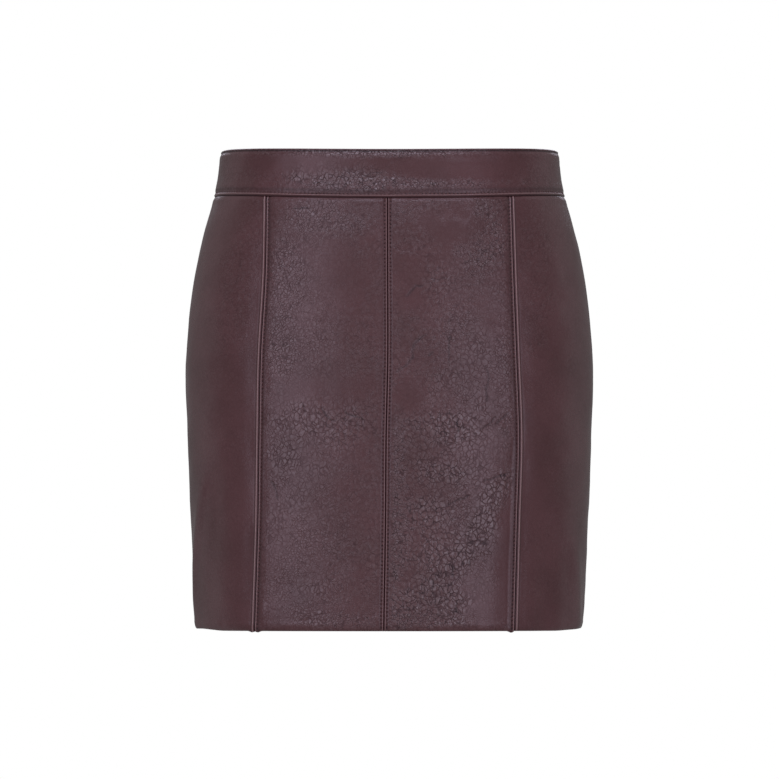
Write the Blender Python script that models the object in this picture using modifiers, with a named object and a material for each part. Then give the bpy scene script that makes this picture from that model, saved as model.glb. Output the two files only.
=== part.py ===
"""A short leather skirt, hollow and filled out as it is when worn. Metres, +Z up, the front faces -Y.

The origin is the middle of the waist, half way down the waistband, where the wearer holds the skirt up.
Left and right are the wearer's, so left is +X. A turn is an angle round the skirt seen from above, in
degrees: 0 is the left side, 90 the centre back, -90 the centre front. A drop is a distance below the top
edge of the waistband at the side seams. A lift is a distance outwards from the skirt's outer surface.

Every piece of leather is a wall: a grid of outer points and a grid of inner points, worked out from
horizontal rings, and joined along its four borders.
"""

import math
from collections import namedtuple

import bmesh
import bpy
import numpy as np
from mathutils import Matrix

# ---------------------------------------------------------------- driving sizes, in metres and degrees
SKIRT_LENGTH = 0.398
BAND_HEIGHT = 0.040
FRONT_DIP = 0.0085  # how far the waist sinks at the centre front
SIDE_NARROWING = 0.0020  # how much lower the waistband is at the side seams than at the centres
LEATHER = 0.0014
BAND_THICKNESS = 0.0030  # leather folded over an interfacing
SEAM_GAP = 0.0003
HEM_TURN_UP = 0.030
HEM_ROUNDING = 0.0022
WAIST_TUCK = 0.0004  # how far a panel's top edge is pulled in under the waistband
SIDE_SEAM_TURN = 2.0
CENTRE_BACK_TURN = 90.0

ZIP_LENGTH = 0.190
ZIP_GAP = 0.0010
ZIP_GAP_FADE = 0.012
ZIP_TOP = 0.006
TAPE_WIDTH = 0.0112
TAPE_THICKNESS = 0.0007
TAPE_GAP = 0.0005
DART_LENGTH = 0.105
DART_DEPTH = 0.0007
DART_SHARE = 0.46  # of the way from the centre back to the side seam
DART_HALF_WIDTH = 0.0022

# Horizontal rings of the outer surface: a half width, and superellipse depths in front and behind.
Ring = namedtuple("Ring", "drop half_width front_depth back_depth squareness")
RINGS = (
    Ring(0.000, 0.1392, 0.0920, 0.0940, 2.20),
    Ring(0.040, 0.1454, 0.0970, 0.1000, 2.20),
    Ring(0.071, 0.1538, 0.1025, 0.1110, 2.25),
    Ring(0.110, 0.1620, 0.1065, 0.1225, 2.30),
    Ring(0.150, 0.1667, 0.1090, 0.1290, 2.30),
    Ring(0.188, 0.1685, 0.1100, 0.1305, 2.30),
    Ring(0.239, 0.1669, 0.1100, 0.1280, 2.30),
    Ring(0.299, 0.1645, 0.1090, 0.1230, 2.35),
    Ring(0.359, 0.1615, 0.1080, 0.1190, 2.35),
    Ring(0.385, 0.1600, 0.1075, 0.1175, 2.35),
    Ring(0.398, 0.1583, 0.1065, 0.1160, 2.35),
)

# Where the three front seams cross each level, as x. They lean a little to the right at the hem.
FrontSeams = namedtuple("FrontSeams", "drop right_princess centre left_princess")
FRONT_SEAMS = (
    FrontSeams(0.040, -0.1002, -0.0016, 0.0990),
    FrontSeams(0.108, -0.1007, -0.0015, 0.1006),
    FrontSeams(0.178, -0.1044, -0.0014, 0.1030),
    FrontSeams(0.243, -0.1055, -0.0027, 0.1052),
    FrontSeams(0.308, -0.1063, -0.0032, 0.1034),
    FrontSeams(0.398, -0.1092, -0.0046, 0.1010),
)

# Soft upright folds, each fading in from its start to its full height at the hem.
Fold = namedtuple("Fold", "start_turn hem_turn start_drop width height")
FOLDS = (
    Fold(-156.0, -173.0, 0.190, 0.0110, 0.0018),
    Fold(-24.0, -15.0, 0.230, 0.0150, 0.0014),
    Fold(30.0, 26.0, 0.200, 0.0160, 0.0020),
    Fold(62.0, 66.0, 0.240, 0.0200, -0.0018),
    Fold(118.0, 113.0, 0.230, 0.0190, -0.0020),
    Fold(150.0, 155.0, 0.190, 0.0150, 0.0018),
)

# Lifts beside a seam, by distance from it. The rows stand at the wall's edge stations.
EDGE_STATIONS = (0.0, 0.0009, 0.0026)
FLAT_FROM = 0.0050
EDGE_LIFTS = {
    "topstitched": (-0.0002, 0.0004, 0.0001),
    "rolled": (-0.0001, 0.0007, 0.0003),
    "pressed": (-0.0002, 0.0001, 0.0001),
    "folded": (-0.0003, 0.0002, 0.0001),
}

# The waistband's section: how far down from its top edge, and the lifts of its two faces.
BandRow = namedtuple("BandRow", "down outer inner")
BAND_SECTION = (
    BandRow(0.0002, -0.0010, -0.0020),
    BandRow(0.0010, -0.0002, -0.0028),
    BandRow(0.0026, -0.0001, -BAND_THICKNESS),
    BandRow(0.0042, 0.0003, -BAND_THICKNESS),
    BandRow(0.0200, 0.0006, -BAND_THICKNESS),
    BandRow(0.0356, 0.0003, -BAND_THICKNESS),
    BandRow(0.0370, 0.0000, -BAND_THICKNESS),
    BandRow(0.0386, 0.0005, -BAND_THICKNESS),
    BandRow(BAND_HEIGHT - SEAM_GAP, 0.0000, -0.0028),
)

# Pieces of leather, in order of turn: the edges they run between, how each edge is finished, and the
# number of even columns between the edge stations.
Panel = namedtuple("Panel", "name start end start_finish end_finish columns dart")
PANELS = (
    Panel("front_side_right", "right_side", "right_princess", "pressed", "rolled", 9, None),
    Panel("front_centre_right", "right_princess", "centre_front", "topstitched", "topstitched", 4, None),
    Panel("front_centre_left", "centre_front", "left_princess", "topstitched", "topstitched", 4, None),
    Panel("front_side_left", "left_princess", "left_side", "rolled", "pressed", 9, None),
    Panel("back_left", "left_side", "centre_back", "pressed", "folded", 16, 1.0 - DART_SHARE),
    Panel("back_right", "centre_back", "right_side_behind", "folded", "pressed", 16, DART_SHARE),
)
BandPiece = namedtuple("BandPiece", "name start_turn end_turn columns")
BAND_PIECES = (
    BandPiece("waistband_front", -180.0 - SIDE_SEAM_TURN, SIDE_SEAM_TURN, 26),
    BandPiece("waistband_back_left", SIDE_SEAM_TURN, CENTRE_BACK_TURN, 14),
    BandPiece("waistband_back_right", CENTRE_BACK_TURN, 180.0 - SIDE_SEAM_TURN, 14),
)
EVEN_ROWS = 14
ROWS_BELOW_WAIST = (0.5 * SEAM_GAP, 0.0016)
ROWS_ABOVE_HEM = (HEM_TURN_UP + 0.0008, HEM_TURN_UP, HEM_ROUNDING, 0.0006, 0.0)

# ---------------------------------------------------------------- zip slider and pull tab, in metres
SLIDER_DROP = 0.0105
PIVOT_LIFT = 0.0014
EAR_RADIUS = 0.0014
EAR_HOLE_RADIUS = 0.0008
EAR_THICKNESS = 0.0005
NECK_HEIGHT = 0.0020
SLIDER_SIZE = (0.0056, 0.0026, 0.0085)
SLIDER_BEVEL = 0.0006
PULL_THICKNESS = 0.0009
PULL_LENGTH = 0.0200
PULL_EYE_HALF_WIDTH = 0.0017
PULL_BELLY_RADIUS = 0.0028
PULL_CORNER_RADIUS = 0.0008
PULL_BAR = 0.0009
PULL_WINDOW_HALF_WIDTH = 0.00075
PULL_WINDOW_LENGTH = 0.0022

# ---------------------------------------------------------------- finishes: sRGB, roughness, metallic
LEATHER_FINISH = ("burgundy_leather", (0.29, 0.20, 0.21), 0.42, 0.0)
TAPE_FINISH = ("burgundy_zip_tape", (0.22, 0.13, 0.14), 0.85, 0.0)
LACQUER_FINISH = ("burgundy_lacquered_zinc", (0.25, 0.14, 0.16), 0.30, 0.6)

DENSE_SAMPLES = 241


# ---------------------------------------------------------------- rings and the outer surface
def smooth_read(table, column, at):
    """Reads a table's named column at the given drops, on a cubic curve through its rows."""
    drops = np.array([row.drop for row in table])
    values = np.array([getattr(row, column) for row in table])
    slopes = np.gradient(values, drops)
    at = np.clip(at, drops[0], drops[-1])
    k = np.clip(np.searchsorted(drops, at, side="right") - 1, 0, len(drops) - 2)
    span = drops[k + 1] - drops[k]
    t = (at - drops[k]) / span
    rise = t * t * (3 - 2 * t)
    start_pull = t * (1 - t) ** 2 * span * slopes[k]
    end_pull = t * t * (t - 1) * span * slopes[k + 1]
    return values[k] * (1 - rise) + values[k + 1] * rise + start_pull + end_pull


def surface(turn, drop):
    """Points of the outer surface, without folds: a superellipse at each level, read by its turn."""
    angle = np.radians(turn)
    cosine, sine = np.cos(angle), np.sin(angle)
    half_width = smooth_read(RINGS, "half_width", drop)
    front = smooth_read(RINGS, "front_depth", drop)
    back = smooth_read(RINGS, "back_depth", drop)
    depth = np.where(sine < 0, front, back)
    power = smooth_read(RINGS, "squareness", drop)
    radius = (np.abs(cosine / half_width) ** power + np.abs(sine / depth) ** power) ** (-1 / power)
    height = BAND_HEIGHT / 2 - drop
    return np.stack([radius * cosine, radius * sine, height + 0 * radius], axis=-1)


def outward(turn, drop):
    """Unit normals of the outer surface, from small steps along its two directions."""
    step_turn, step_drop = 0.2, 0.0004
    along = surface(turn + step_turn, drop) - surface(turn - step_turn, drop)
    up = surface(turn, drop - step_drop) - surface(turn, drop + step_drop)
    normal = np.cross(along, up)
    return normal / np.linalg.norm(normal, axis=-1, keepdims=True)


def waist_dip(turn):
    """How far the waist sinks at a turn: nothing from the sides back, all of FRONT_DIP at the front."""
    y = surface(turn, np.full_like(turn, BAND_HEIGHT))[..., 1]
    forward = np.clip(-y / smooth_read(RINGS, "front_depth", BAND_HEIGHT), 0, 1)
    return FRONT_DIP * forward**2


def side_narrowing(turn, down):
    """How far the waistband's top edge sinks towards the side seams; its lower edge stays."""
    return SIDE_NARROWING * np.cos(np.radians(turn)) ** 4 * (1 - down / BAND_HEIGHT)


def fold_lift(turn, drop):
    """The soft folds: each a bell across its own leaning line, growing towards the hem."""
    lift = np.zeros(np.broadcast(turn, drop).shape)
    radius = np.linalg.norm(surface(turn, drop)[..., :2], axis=-1)
    for fold in FOLDS:
        growth = np.clip((drop - fold.start_drop) / (SKIRT_LENGTH - fold.start_drop), 0, 1)
        line = fold.start_turn + (fold.hem_turn - fold.start_turn) * growth
        aside = (turn - line + 180) % 360 - 180
        distance = np.radians(aside) * radius
        rise = growth * growth * (3 - 2 * growth)
        lift = lift + fold.height * rise * np.exp(-((distance / fold.width) ** 2))
    return lift


# ---------------------------------------------------------------- where the seams run
def turn_at(x, drop):
    """The turn, on the front half, where each level has the given x."""
    turns = np.linspace(-179.0, -1.0, DENSE_SAMPLES)
    found = [np.interp(level_x, surface(turns, np.full_like(turns, level))[:, 0], turns)
             for level_x, level in zip(x, drop)]
    return np.array(found)


def row_drops(waist_drop):
    """The drops of a panel's rows below each waist point: close rows at the waist and the hem."""
    below = np.array(ROWS_BELOW_WAIST)[:, None] + waist_drop
    above = SKIRT_LENGTH - np.array(ROWS_ABOVE_HEM)[:, None] + 0 * waist_drop
    share = np.linspace(0, 1, EVEN_ROWS + 2)[1:-1, None]
    between = below[-1] + (above[0] - below[-1]) * share
    return np.concatenate([below, between, above])


def front_seam_turns(column):
    """The turn of a front seam at each row. Its waist drop depends on its turn, so it is found twice."""
    waist_turn = np.array([-90.0])
    for _ in range(3):
        drops = row_drops(BAND_HEIGHT + waist_dip(waist_turn))[:, 0]
        turns = turn_at(smooth_read(FRONT_SEAMS, column, drops), drops)
        waist_turn = turns[:1]
    return turns


def edge_turns(name):
    """The turn of a named panel edge at each row."""
    rows = len(ROWS_BELOW_WAIST) + EVEN_ROWS + len(ROWS_ABOVE_HEM)
    straight = {
        "right_side": -180.0 - SIDE_SEAM_TURN,
        "left_side": SIDE_SEAM_TURN,
        "centre_back": CENTRE_BACK_TURN,
        "right_side_behind": 180.0 - SIDE_SEAM_TURN,
    }
    if name in straight:
        return np.full(rows, straight[name])
    columns = {"right_princess": "right_princess", "centre_front": "centre", "left_princess": "left_princess"}
    return front_seam_turns(columns[name])


def edge_clearance(finish, drop):
    """Half the gap at an edge: wider along the zip, then closing to a seam's gap."""
    if finish != "folded":
        return 0 * drop + SEAM_GAP / 2
    zipped = np.clip((ZIP_LENGTH - drop) / ZIP_GAP_FADE, 0, 1)
    return (SEAM_GAP + (ZIP_GAP - SEAM_GAP) * zipped) / 2


# ---------------------------------------------------------------- walls
def stations(panel, length, start_gap, end_gap):
    """Distances along one row, from its start edge: edge stations, even columns, dart columns."""
    edge = np.array(EDGE_STATIONS)
    first, last = start_gap + edge, length - end_gap - edge[::-1]
    share = np.linspace(0, 1, panel.columns + 2)[1:-1]
    between = first[-1] + (last[0] - first[-1]) * share
    if panel.dart is not None:
        middle = panel.dart * length
        between = between[np.abs(share - panel.dart).argsort(kind="stable")[2:]]
        sides = middle + DART_HALF_WIDTH * np.array([-1.0, 0.0, 1.0])
        between = np.sort(np.concatenate([between, sides]))
    return np.concatenate([first, between, last])


def edge_lift(distance, finish):
    """The lift that a finished edge gives at each distance from it."""
    return np.interp(distance, [*EDGE_STATIONS, FLAT_FROM], [*EDGE_LIFTS[finish], 0.0])


def row_turns(start, end, drop, distances_of):
    """The turns along one level, at distances from its start edge."""
    turns = np.linspace(start, end, DENSE_SAMPLES)
    points = surface(turns, np.full_like(turns, drop))
    steps = np.linalg.norm(np.diff(points, axis=0), axis=1)
    lengths = np.concatenate([[0.0], np.cumsum(steps)])
    distances = distances_of(lengths[-1])
    return np.interp(distances, lengths, turns), distances, lengths[-1]


def panel_grids(panel):
    """The outer and inner points of one panel, rows from the waist to the hem."""
    starts, ends = edge_turns(panel.start), edge_turns(panel.end)
    nominal = row_drops(np.array([BAND_HEIGHT]))[:, 0]
    turns, from_start, from_end, dart_sink = [], [], [], []
    for start, end, drop in zip(starts, ends, nominal):
        gaps = edge_clearance(panel.start_finish, drop), edge_clearance(panel.end_finish, drop)
        row, distances, length = row_turns(start, end, drop, lambda whole: stations(panel, whole, *gaps))
        turns.append(row)
        from_start.append(distances - gaps[0])
        from_end.append(length - gaps[1] - distances)
        share = np.clip(1 - (drop - BAND_HEIGHT) / DART_LENGTH, 0, 1)
        aside = np.abs(distances - (panel.dart or 0.0) * length) / DART_HALF_WIDTH
        sink = DART_DEPTH * share * np.clip(1 - aside, 0, 1)
        dart_sink.append(sink if panel.dart is not None else 0 * sink)
    turn = np.array(turns)
    drop = row_drops(BAND_HEIGHT + waist_dip(turn[0]))
    base, normal = surface(turn, drop), outward(turn, drop)
    folds = fold_lift(turn, drop)
    lift = folds - np.array(dart_sink)
    lift += edge_lift(np.array(from_start), panel.start_finish)
    lift += edge_lift(np.array(from_end), panel.end_finish)
    lift[0] -= WAIST_TUCK
    above_hem = np.clip(SKIRT_LENGTH - drop, 0, HEM_ROUNDING)
    lift -= HEM_ROUNDING - np.sqrt(HEM_ROUNDING**2 - (HEM_ROUNDING - above_hem) ** 2)
    layers = np.where(SKIRT_LENGTH - drop <= HEM_TURN_UP + 1e-6, 2, 1)
    depth = LEATHER * layers - folds
    return base + normal * lift[..., None], base - normal * depth[..., None]


def band_grids(piece):
    """The outer and inner points of one length of waistband, rows from its top edge down."""
    start_gap = ZIP_GAP if piece.start_turn == CENTRE_BACK_TURN else SEAM_GAP
    end_gap = ZIP_GAP if piece.end_turn == CENTRE_BACK_TURN else SEAM_GAP
    turn, _, _ = row_turns(
        piece.start_turn,
        piece.end_turn,
        BAND_HEIGHT / 2,
        lambda whole: np.linspace(start_gap / 2, whole - end_gap / 2, piece.columns),
    )
    down = np.array([row.down for row in BAND_SECTION])[:, None]
    turn = np.broadcast_to(turn, (len(BAND_SECTION), piece.columns))
    drop = down + waist_dip(turn) + side_narrowing(turn, down)
    base, normal = surface(turn, drop), outward(turn, drop)
    outer = np.array([row.outer for row in BAND_SECTION])[:, None, None]
    inner = np.array([row.inner for row in BAND_SECTION])[:, None, None]
    return base + normal * outer, base + normal * inner


def tape_grids(side):
    """One zip tape, inside the back: side is 1 for the left and -1 for the right."""
    behind_band = -BAND_THICKNESS - TAPE_GAP
    behind_panel = -LEATHER - TAPE_GAP
    clear_of_band = BAND_HEIGHT + 0.002
    upper, lower = np.linspace(ZIP_TOP, clear_of_band, 6), np.linspace(clear_of_band + 0.014, ZIP_LENGTH, 9)
    drop = np.concatenate([upper, lower])
    lift = np.where(drop <= clear_of_band, behind_band, behind_panel)[:, None]
    distance = ZIP_GAP + np.array([0.0, 0.5, 1.0]) * TAPE_WIDTH
    reach = np.degrees(distance[None, :] / surface(CENTRE_BACK_TURN, drop)[:, None, 1])
    turn = CENTRE_BACK_TURN - side * reach
    turn = turn if side < 0 else turn[:, ::-1]
    drop = np.broadcast_to(drop[:, None], turn.shape)
    base, normal = surface(turn, drop), outward(turn, drop)
    return base + normal * lift[..., None], base + normal * (lift - TAPE_THICKNESS)[..., None]


# ---------------------------------------------------------------- Blender objects
def clear_scene():
    """Takes out every object that the file opened with."""
    for obj in list(bpy.data.objects):
        bpy.data.objects.remove(obj)


def new_collection(name):
    """A collection linked to the scene."""
    collection = bpy.data.collections.new(name)
    bpy.context.scene.collection.children.link(collection)
    return collection


def linear(channel):
    """One sRGB channel as a linear value."""
    return channel / 12.92 if channel <= 0.04045 else ((channel + 0.055) / 1.055) ** 2.4


def material(finish):
    """The Principled material of a finish, made once."""
    name, colour, roughness, metallic = finish
    made = bpy.data.materials.get(name)
    if made is None:
        made = bpy.data.materials.new(name)
        made.use_nodes = True
        shader = made.node_tree.nodes["Principled BSDF"]
        shader.inputs["Base Color"].default_value = (*map(linear, colour), 1.0)
        shader.inputs["Roughness"].default_value = roughness
        shader.inputs["Metallic"].default_value = metallic
    return made


def add_wall(name, grids, finish, collection):
    """A closed wall between two grids of points, joined along their borders."""
    outer, inner = grids
    rows, columns = outer.shape[:2]
    bm = bmesh.new()
    vertices = [bm.verts.new(point) for point in np.concatenate([outer, inner]).reshape(-1, 3)]
    front = np.arange(rows * columns).reshape(rows, columns)
    back = front + rows * columns
    border = [*front[0, :-1], *front[:-1, -1], *front[-1, :0:-1], *front[:0:-1, 0]]
    for r in range(rows - 1):
        for c in range(columns - 1):
            bm.faces.new([vertices[i] for i in (front[r, c], front[r + 1, c], front[r + 1, c + 1], front[r, c + 1])])
            bm.faces.new([vertices[i] for i in (back[r, c], back[r, c + 1], back[r + 1, c + 1], back[r + 1, c])])
    for here, there in zip(border, border[1:] + border[:1]):
        step = rows * columns
        bm.faces.new([vertices[i] for i in (here, there, there + step, here + step)])
    bmesh.ops.recalc_face_normals(bm, faces=bm.faces)
    mesh = bpy.data.meshes.new(name)
    bm.to_mesh(mesh)
    bm.free()
    mesh.materials.append(material(finish))
    mesh.shade_smooth()
    mesh.set_sharp_from_angle(angle=math.radians(35))
    obj = bpy.data.objects.new(name, mesh)
    collection.objects.link(obj)
    return obj


def settle(obj, name, collection, parent):
    """Names a new primitive, and puts it in its collection under its parent."""
    obj.name = name
    for old in list(obj.users_collection):
        old.objects.unlink(obj)
    collection.objects.link(obj)
    obj.parent = parent
    return obj


def add_block(name, size, location, collection, parent):
    """A box of the given size, with its scale applied."""
    bpy.ops.mesh.primitive_cube_add(size=1.0)
    obj = settle(bpy.context.object, name, collection, parent)
    obj.data.transform(Matrix.Diagonal((*size, 1.0)))
    obj.location = location
    return obj


def add_disc(name, radius, thickness, collection, parent):
    """A cylinder whose axis is X."""
    bpy.ops.mesh.primitive_cylinder_add(vertices=20, radius=radius, depth=thickness)
    obj = settle(bpy.context.object, name, collection, parent)
    obj.rotation_euler = (0.0, math.pi / 2, 0.0)
    return obj


def add_boolean(obj, cutter, operation):
    """A Boolean modifier, with its cutter hidden from renders."""
    cutter.hide_render = True
    cutter.display_type = "WIRE"
    modifier = obj.modifiers.new(f"{operation.lower()}_{cutter.name}", "BOOLEAN")
    modifier.operation = operation
    modifier.object = cutter


def zip_frame(collection):
    """An empty at the pull's pivot, with +Y straight out of the waistband's back face."""
    turn, drop = np.array([CENTRE_BACK_TURN]), np.array([SLIDER_DROP])
    normal = outward(turn, drop)[0]
    empty = bpy.data.objects.new("zip_pivot", None)
    collection.objects.link(empty)
    empty.location = surface(turn, drop)[0] + normal * PIVOT_LIFT
    empty.rotation_euler = (math.atan2(normal[2], normal[1]), 0.0, 0.0)
    return empty


def add_slider(collection, cutters, pivot):
    """The slider: a body inside the tapes, a neck through the gap, and an ear that carries the pull."""
    body_lift = -PIVOT_LIFT - BAND_THICKNESS - TAPE_GAP - TAPE_THICKNESS - SEAM_GAP - SLIDER_SIZE[1] / 2
    body = add_block("zip_slider", SLIDER_SIZE, (0.0, body_lift, 0.0), collection, pivot)
    bevel = body.modifiers.new("rounded_edges", "BEVEL")
    bevel.width = SLIDER_BEVEL
    bevel.segments = 2
    neck_size = (EAR_THICKNESS, -body_lift, NECK_HEIGHT)
    neck = add_block("slider_neck", neck_size, (0.0, body_lift / 2 - EAR_HOLE_RADIUS, 0.0), cutters, pivot)
    ear = add_disc("slider_ear", EAR_RADIUS, EAR_THICKNESS, cutters, pivot)
    hole = add_disc("slider_ear_hole", EAR_HOLE_RADIUS, 4 * EAR_THICKNESS, cutters, pivot)
    add_boolean(body, neck, "UNION")
    add_boolean(body, ear, "UNION")
    add_boolean(body, hole, "DIFFERENCE")
    body.data.materials.append(material(LACQUER_FINISH))
    return body


def arc(x, y, radius, start_degrees, end_degrees, count):
    """Points round part of a circle."""
    angle = np.radians(np.linspace(start_degrees, end_degrees, count))
    return np.stack([x + radius * np.cos(angle), y + radius * np.sin(angle)], axis=1)


def pull_outline():
    """The pull's teardrop: a straight bar with rounded corners, straight flanks, and a round belly."""
    corner_x, corner_y = PULL_EYE_HALF_WIDTH - PULL_CORNER_RADIUS, PULL_BAR / 2 - PULL_CORNER_RADIUS
    left_corner = arc(corner_x, corner_y, PULL_CORNER_RADIUS, 0, 90, 4)
    right_corner = arc(-corner_x, corner_y, PULL_CORNER_RADIUS, 90, 180, 4)
    belly = arc(0.0, PULL_BELLY_RADIUS + PULL_BAR / 2 - PULL_LENGTH, PULL_BELLY_RADIUS, 180, 360, 15)
    return np.concatenate([left_corner, right_corner, belly])


def pull_window():
    """The pull's eye: a straight-sided window under its bar, for the slider's ear."""
    x, top, bottom = PULL_WINDOW_HALF_WIDTH, -PULL_BAR / 2, -PULL_BAR / 2 - PULL_WINDOW_LENGTH
    return np.array([(-x, top), (-x, bottom), (x, bottom), (x, top)])


def add_pull(collection, pivot):
    """The pull tab: a flat outline with an eye, hanging from the bar that turns in the slider's ear."""
    curve = bpy.data.curves.new("zip_pull", "CURVE")
    curve.dimensions = "2D"
    curve.fill_mode = "BOTH"
    curve.extrude = PULL_THICKNESS / 2
    for outline in (pull_outline(), pull_window()):
        spline = curve.splines.new("POLY")
        spline.points.add(len(outline) - 1)
        spline.points.foreach_set("co", np.insert(outline, 2, [[0.0], [1.0]], axis=1).ravel())
        spline.use_cyclic_u = True
    curve.materials.append(material(LACQUER_FINISH))
    obj = bpy.data.objects.new("zip_pull", curve)
    collection.objects.link(obj)
    obj.parent = pivot
    obj.rotation_euler = (math.pi / 2, 0.0, 0.0)
    return obj


def main():
    """Builds every piece of the skirt."""
    clear_scene()
    skirt = new_collection("leather_skirt")
    cutters = new_collection("cutters")
    for panel in PANELS:
        add_wall(panel.name, panel_grids(panel), LEATHER_FINISH, skirt)
    for piece in BAND_PIECES:
        add_wall(piece.name, band_grids(piece), LEATHER_FINISH, skirt)
    for name, side in (("zip_tape_left", 1), ("zip_tape_right", -1)):
        add_wall(name, tape_grids(side), TAPE_FINISH, skirt)
    pivot = zip_frame(skirt)
    add_slider(skirt, cutters, pivot)
    add_pull(skirt, pivot)


main()
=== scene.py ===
"""The looks of a short panelled leather skirt, hollow and filled out as it is when worn.

Metres, +Z up, and the front faces -Y. The origin is the middle of the waist, half way down the waistband.
Left and right are the wearer's, so left is +X. A turn is an angle round the skirt seen from above, in
degrees: 0 is the left side, 90 the centre back, -90 the centre front. A drop is a distance below the top
edge of the waistband. A lift is a distance outwards from the skirt's outer surface, and relief, seams
and grain are given as lifts in millimetres.

Each piece of leather is one closed shell: a fine outer grid and a coarser inner grid over the same
base surface, joined along their borders.
"""

from __future__ import annotations

import logging
import math
from dataclasses import dataclass, field
from enum import Enum

import bpy
import numpy as np
from mathutils import Matrix, Vector

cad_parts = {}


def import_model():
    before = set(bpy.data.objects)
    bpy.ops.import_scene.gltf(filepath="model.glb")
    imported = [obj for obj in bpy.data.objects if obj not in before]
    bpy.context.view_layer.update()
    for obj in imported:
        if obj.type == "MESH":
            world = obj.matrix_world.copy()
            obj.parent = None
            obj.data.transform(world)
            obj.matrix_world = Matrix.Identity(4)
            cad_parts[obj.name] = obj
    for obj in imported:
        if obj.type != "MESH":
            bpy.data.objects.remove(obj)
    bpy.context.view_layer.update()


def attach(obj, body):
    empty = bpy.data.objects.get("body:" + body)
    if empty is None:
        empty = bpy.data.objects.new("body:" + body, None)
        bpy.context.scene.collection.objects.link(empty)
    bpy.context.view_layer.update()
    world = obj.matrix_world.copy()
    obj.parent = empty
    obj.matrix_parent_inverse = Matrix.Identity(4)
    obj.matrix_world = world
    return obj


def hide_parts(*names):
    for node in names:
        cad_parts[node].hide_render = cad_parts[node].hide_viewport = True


Array = np.ndarray
Object = bpy.types.Object
LOG = logging.getLogger("leather_skirt")

MM = 0.001
SKIRT_BODY = "skirt"
PULL_BODY = "pull_tab"
FRONT_SIGN = -1.0


# ------------------------------------------------------------------------------------ curves and noise
def ease(share: Array) -> Array:
    """A smooth step: 0 below 0, 1 above 1, with level ends."""
    share = np.clip(share, 0.0, 1.0)
    return share * share * (3.0 - 2.0 * share)


def eased_profile(knots: tuple[tuple[float, float], ...], at: Array) -> Array:
    """A profile that is level at each of its knots and eases from one to the next.

    Args:
        knots: (distance, value) pairs, in order of distance.
        at: Distances to read.

    Returns:
        The values there, held past both ends.
    """
    distance, value = np.array(knots).T
    k = np.clip(np.searchsorted(distance, at, side="right") - 1, 0, len(distance) - 2)
    share = ease((at - distance[k]) / (distance[k + 1] - distance[k]))
    return value[k] + (value[k + 1] - value[k]) * share


def hashed(x: Array, y: Array, seed: int) -> Array:
    """A fixed scramble of whole numbers x and y into 0 to 1, different for each seed."""
    mixed = (x * 374761393 + y * 668265263 + seed * 974634777) & 0xFFFFFFFF
    mixed = ((mixed ^ (mixed >> 13)) * 1274126177) & 0xFFFFFFFF
    return ((mixed ^ (mixed >> 16)) & 0xFFFFFF) / float(0x1000000)


def soft_noise(x: Array, y: Array, size: float, seed: int) -> Array:
    """Lattice noise: random heights on a square lattice, eased across each square.

    Args:
        x: First coordinate.
        y: Second coordinate, in the same unit.
        size: The lattice's spacing in that unit.
        seed: Which noise.

    Returns:
        Values from -1 to 1.
    """
    column, row = np.floor(x / size).astype(np.int64), np.floor(y / size).astype(np.int64)
    across, down = ease(x / size - column), ease(y / size - row)
    corner = [hashed(column + i, row + j, seed) for j in (0, 1) for i in (0, 1)]
    upper = corner[0] + (corner[1] - corner[0]) * across
    lower = corner[2] + (corner[3] - corner[2]) * across
    return 2.0 * (upper + (lower - upper) * down) - 1.0


def pebbles(x: Array, y: Array, seed: int) -> tuple[Array, Array]:
    """Cell noise: one jittered point in each unit square, and the gap between the two nearest.

    Args:
        x: First coordinate, in pebble widths.
        y: Second coordinate, in pebble widths.
        seed: Which pebbles.

    Returns:
        The distance from the crease between pebbles, as a share of their width, and each pebble's
        own random value.
    """
    column, row = np.floor(x).astype(np.int64), np.floor(y).astype(np.int64)
    nearest, second, owner = np.full(x.shape, 9.0), np.full(x.shape, 9.0), np.zeros(x.shape)
    for j in (-1, 0, 1):
        for i in (-1, 0, 1):
            point_x = column + i + 0.12 + 0.76 * hashed(column + i, row + j, seed)
            point_y = row + j + 0.12 + 0.76 * hashed(column + i, row + j, seed + 71)
            away = np.hypot(point_x - x, point_y - y)
            closer = away < nearest
            second = np.where(closer, nearest, np.minimum(second, away))
            owner = np.where(closer, hashed(column + i, row + j, seed + 137), owner)
            nearest = np.where(closer, away, nearest)
    return second - nearest, owner


def domed(gap: Array, rim: float = 0.7) -> Array:
    """A pebble's height, 0 at its crease: a parabola that is level where the gap reaches the rim."""
    return 1.0 - (1.0 - np.clip(gap / rim, 0.0, 1.0)) ** 2


# ------------------------------------------------------------------------------------ the skirt's form
@dataclass(frozen=True)
class Ring:
    """One level of the outer surface: its half width and its superellipse depths, in metres."""

    drop: float
    half_width: float
    front_depth: float
    back_depth: float
    squareness: float


@dataclass(frozen=True)
class FrontSeams:
    """Where the three front seams cross one level, as x in metres."""

    drop: float
    right_princess: float
    centre: float
    left_princess: float


@dataclass(frozen=True)
class Fold:
    """A soft upright fold that fades in from its start to its full height at the hem."""

    start_turn: float
    hem_turn: float
    start_drop: float
    width: float
    height: float


def smooth_read(table: tuple, column: str, at: Array) -> Array:
    """Reads a table's named column on a cubic curve through its rows.

    Args:
        table: Rows with a drop and the named column.
        column: The column's name.
        at: Drops to read, held within the table's own.

    Returns:
        The values there.
    """
    drops = np.array([row.drop for row in table])
    values = np.array([getattr(row, column) for row in table])
    slopes = np.gradient(values, drops)
    at = np.clip(at, drops[0], drops[-1])
    k = np.clip(np.searchsorted(drops, at, side="right") - 1, 0, len(drops) - 2)
    span = drops[k + 1] - drops[k]
    t = (at - drops[k]) / span
    rise = t * t * (3 - 2 * t)
    start_pull = t * (1 - t) ** 2 * span * slopes[k]
    end_pull = t * t * (t - 1) * span * slopes[k + 1]
    return values[k] * (1 - rise) + values[k + 1] * rise + start_pull + end_pull


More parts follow.
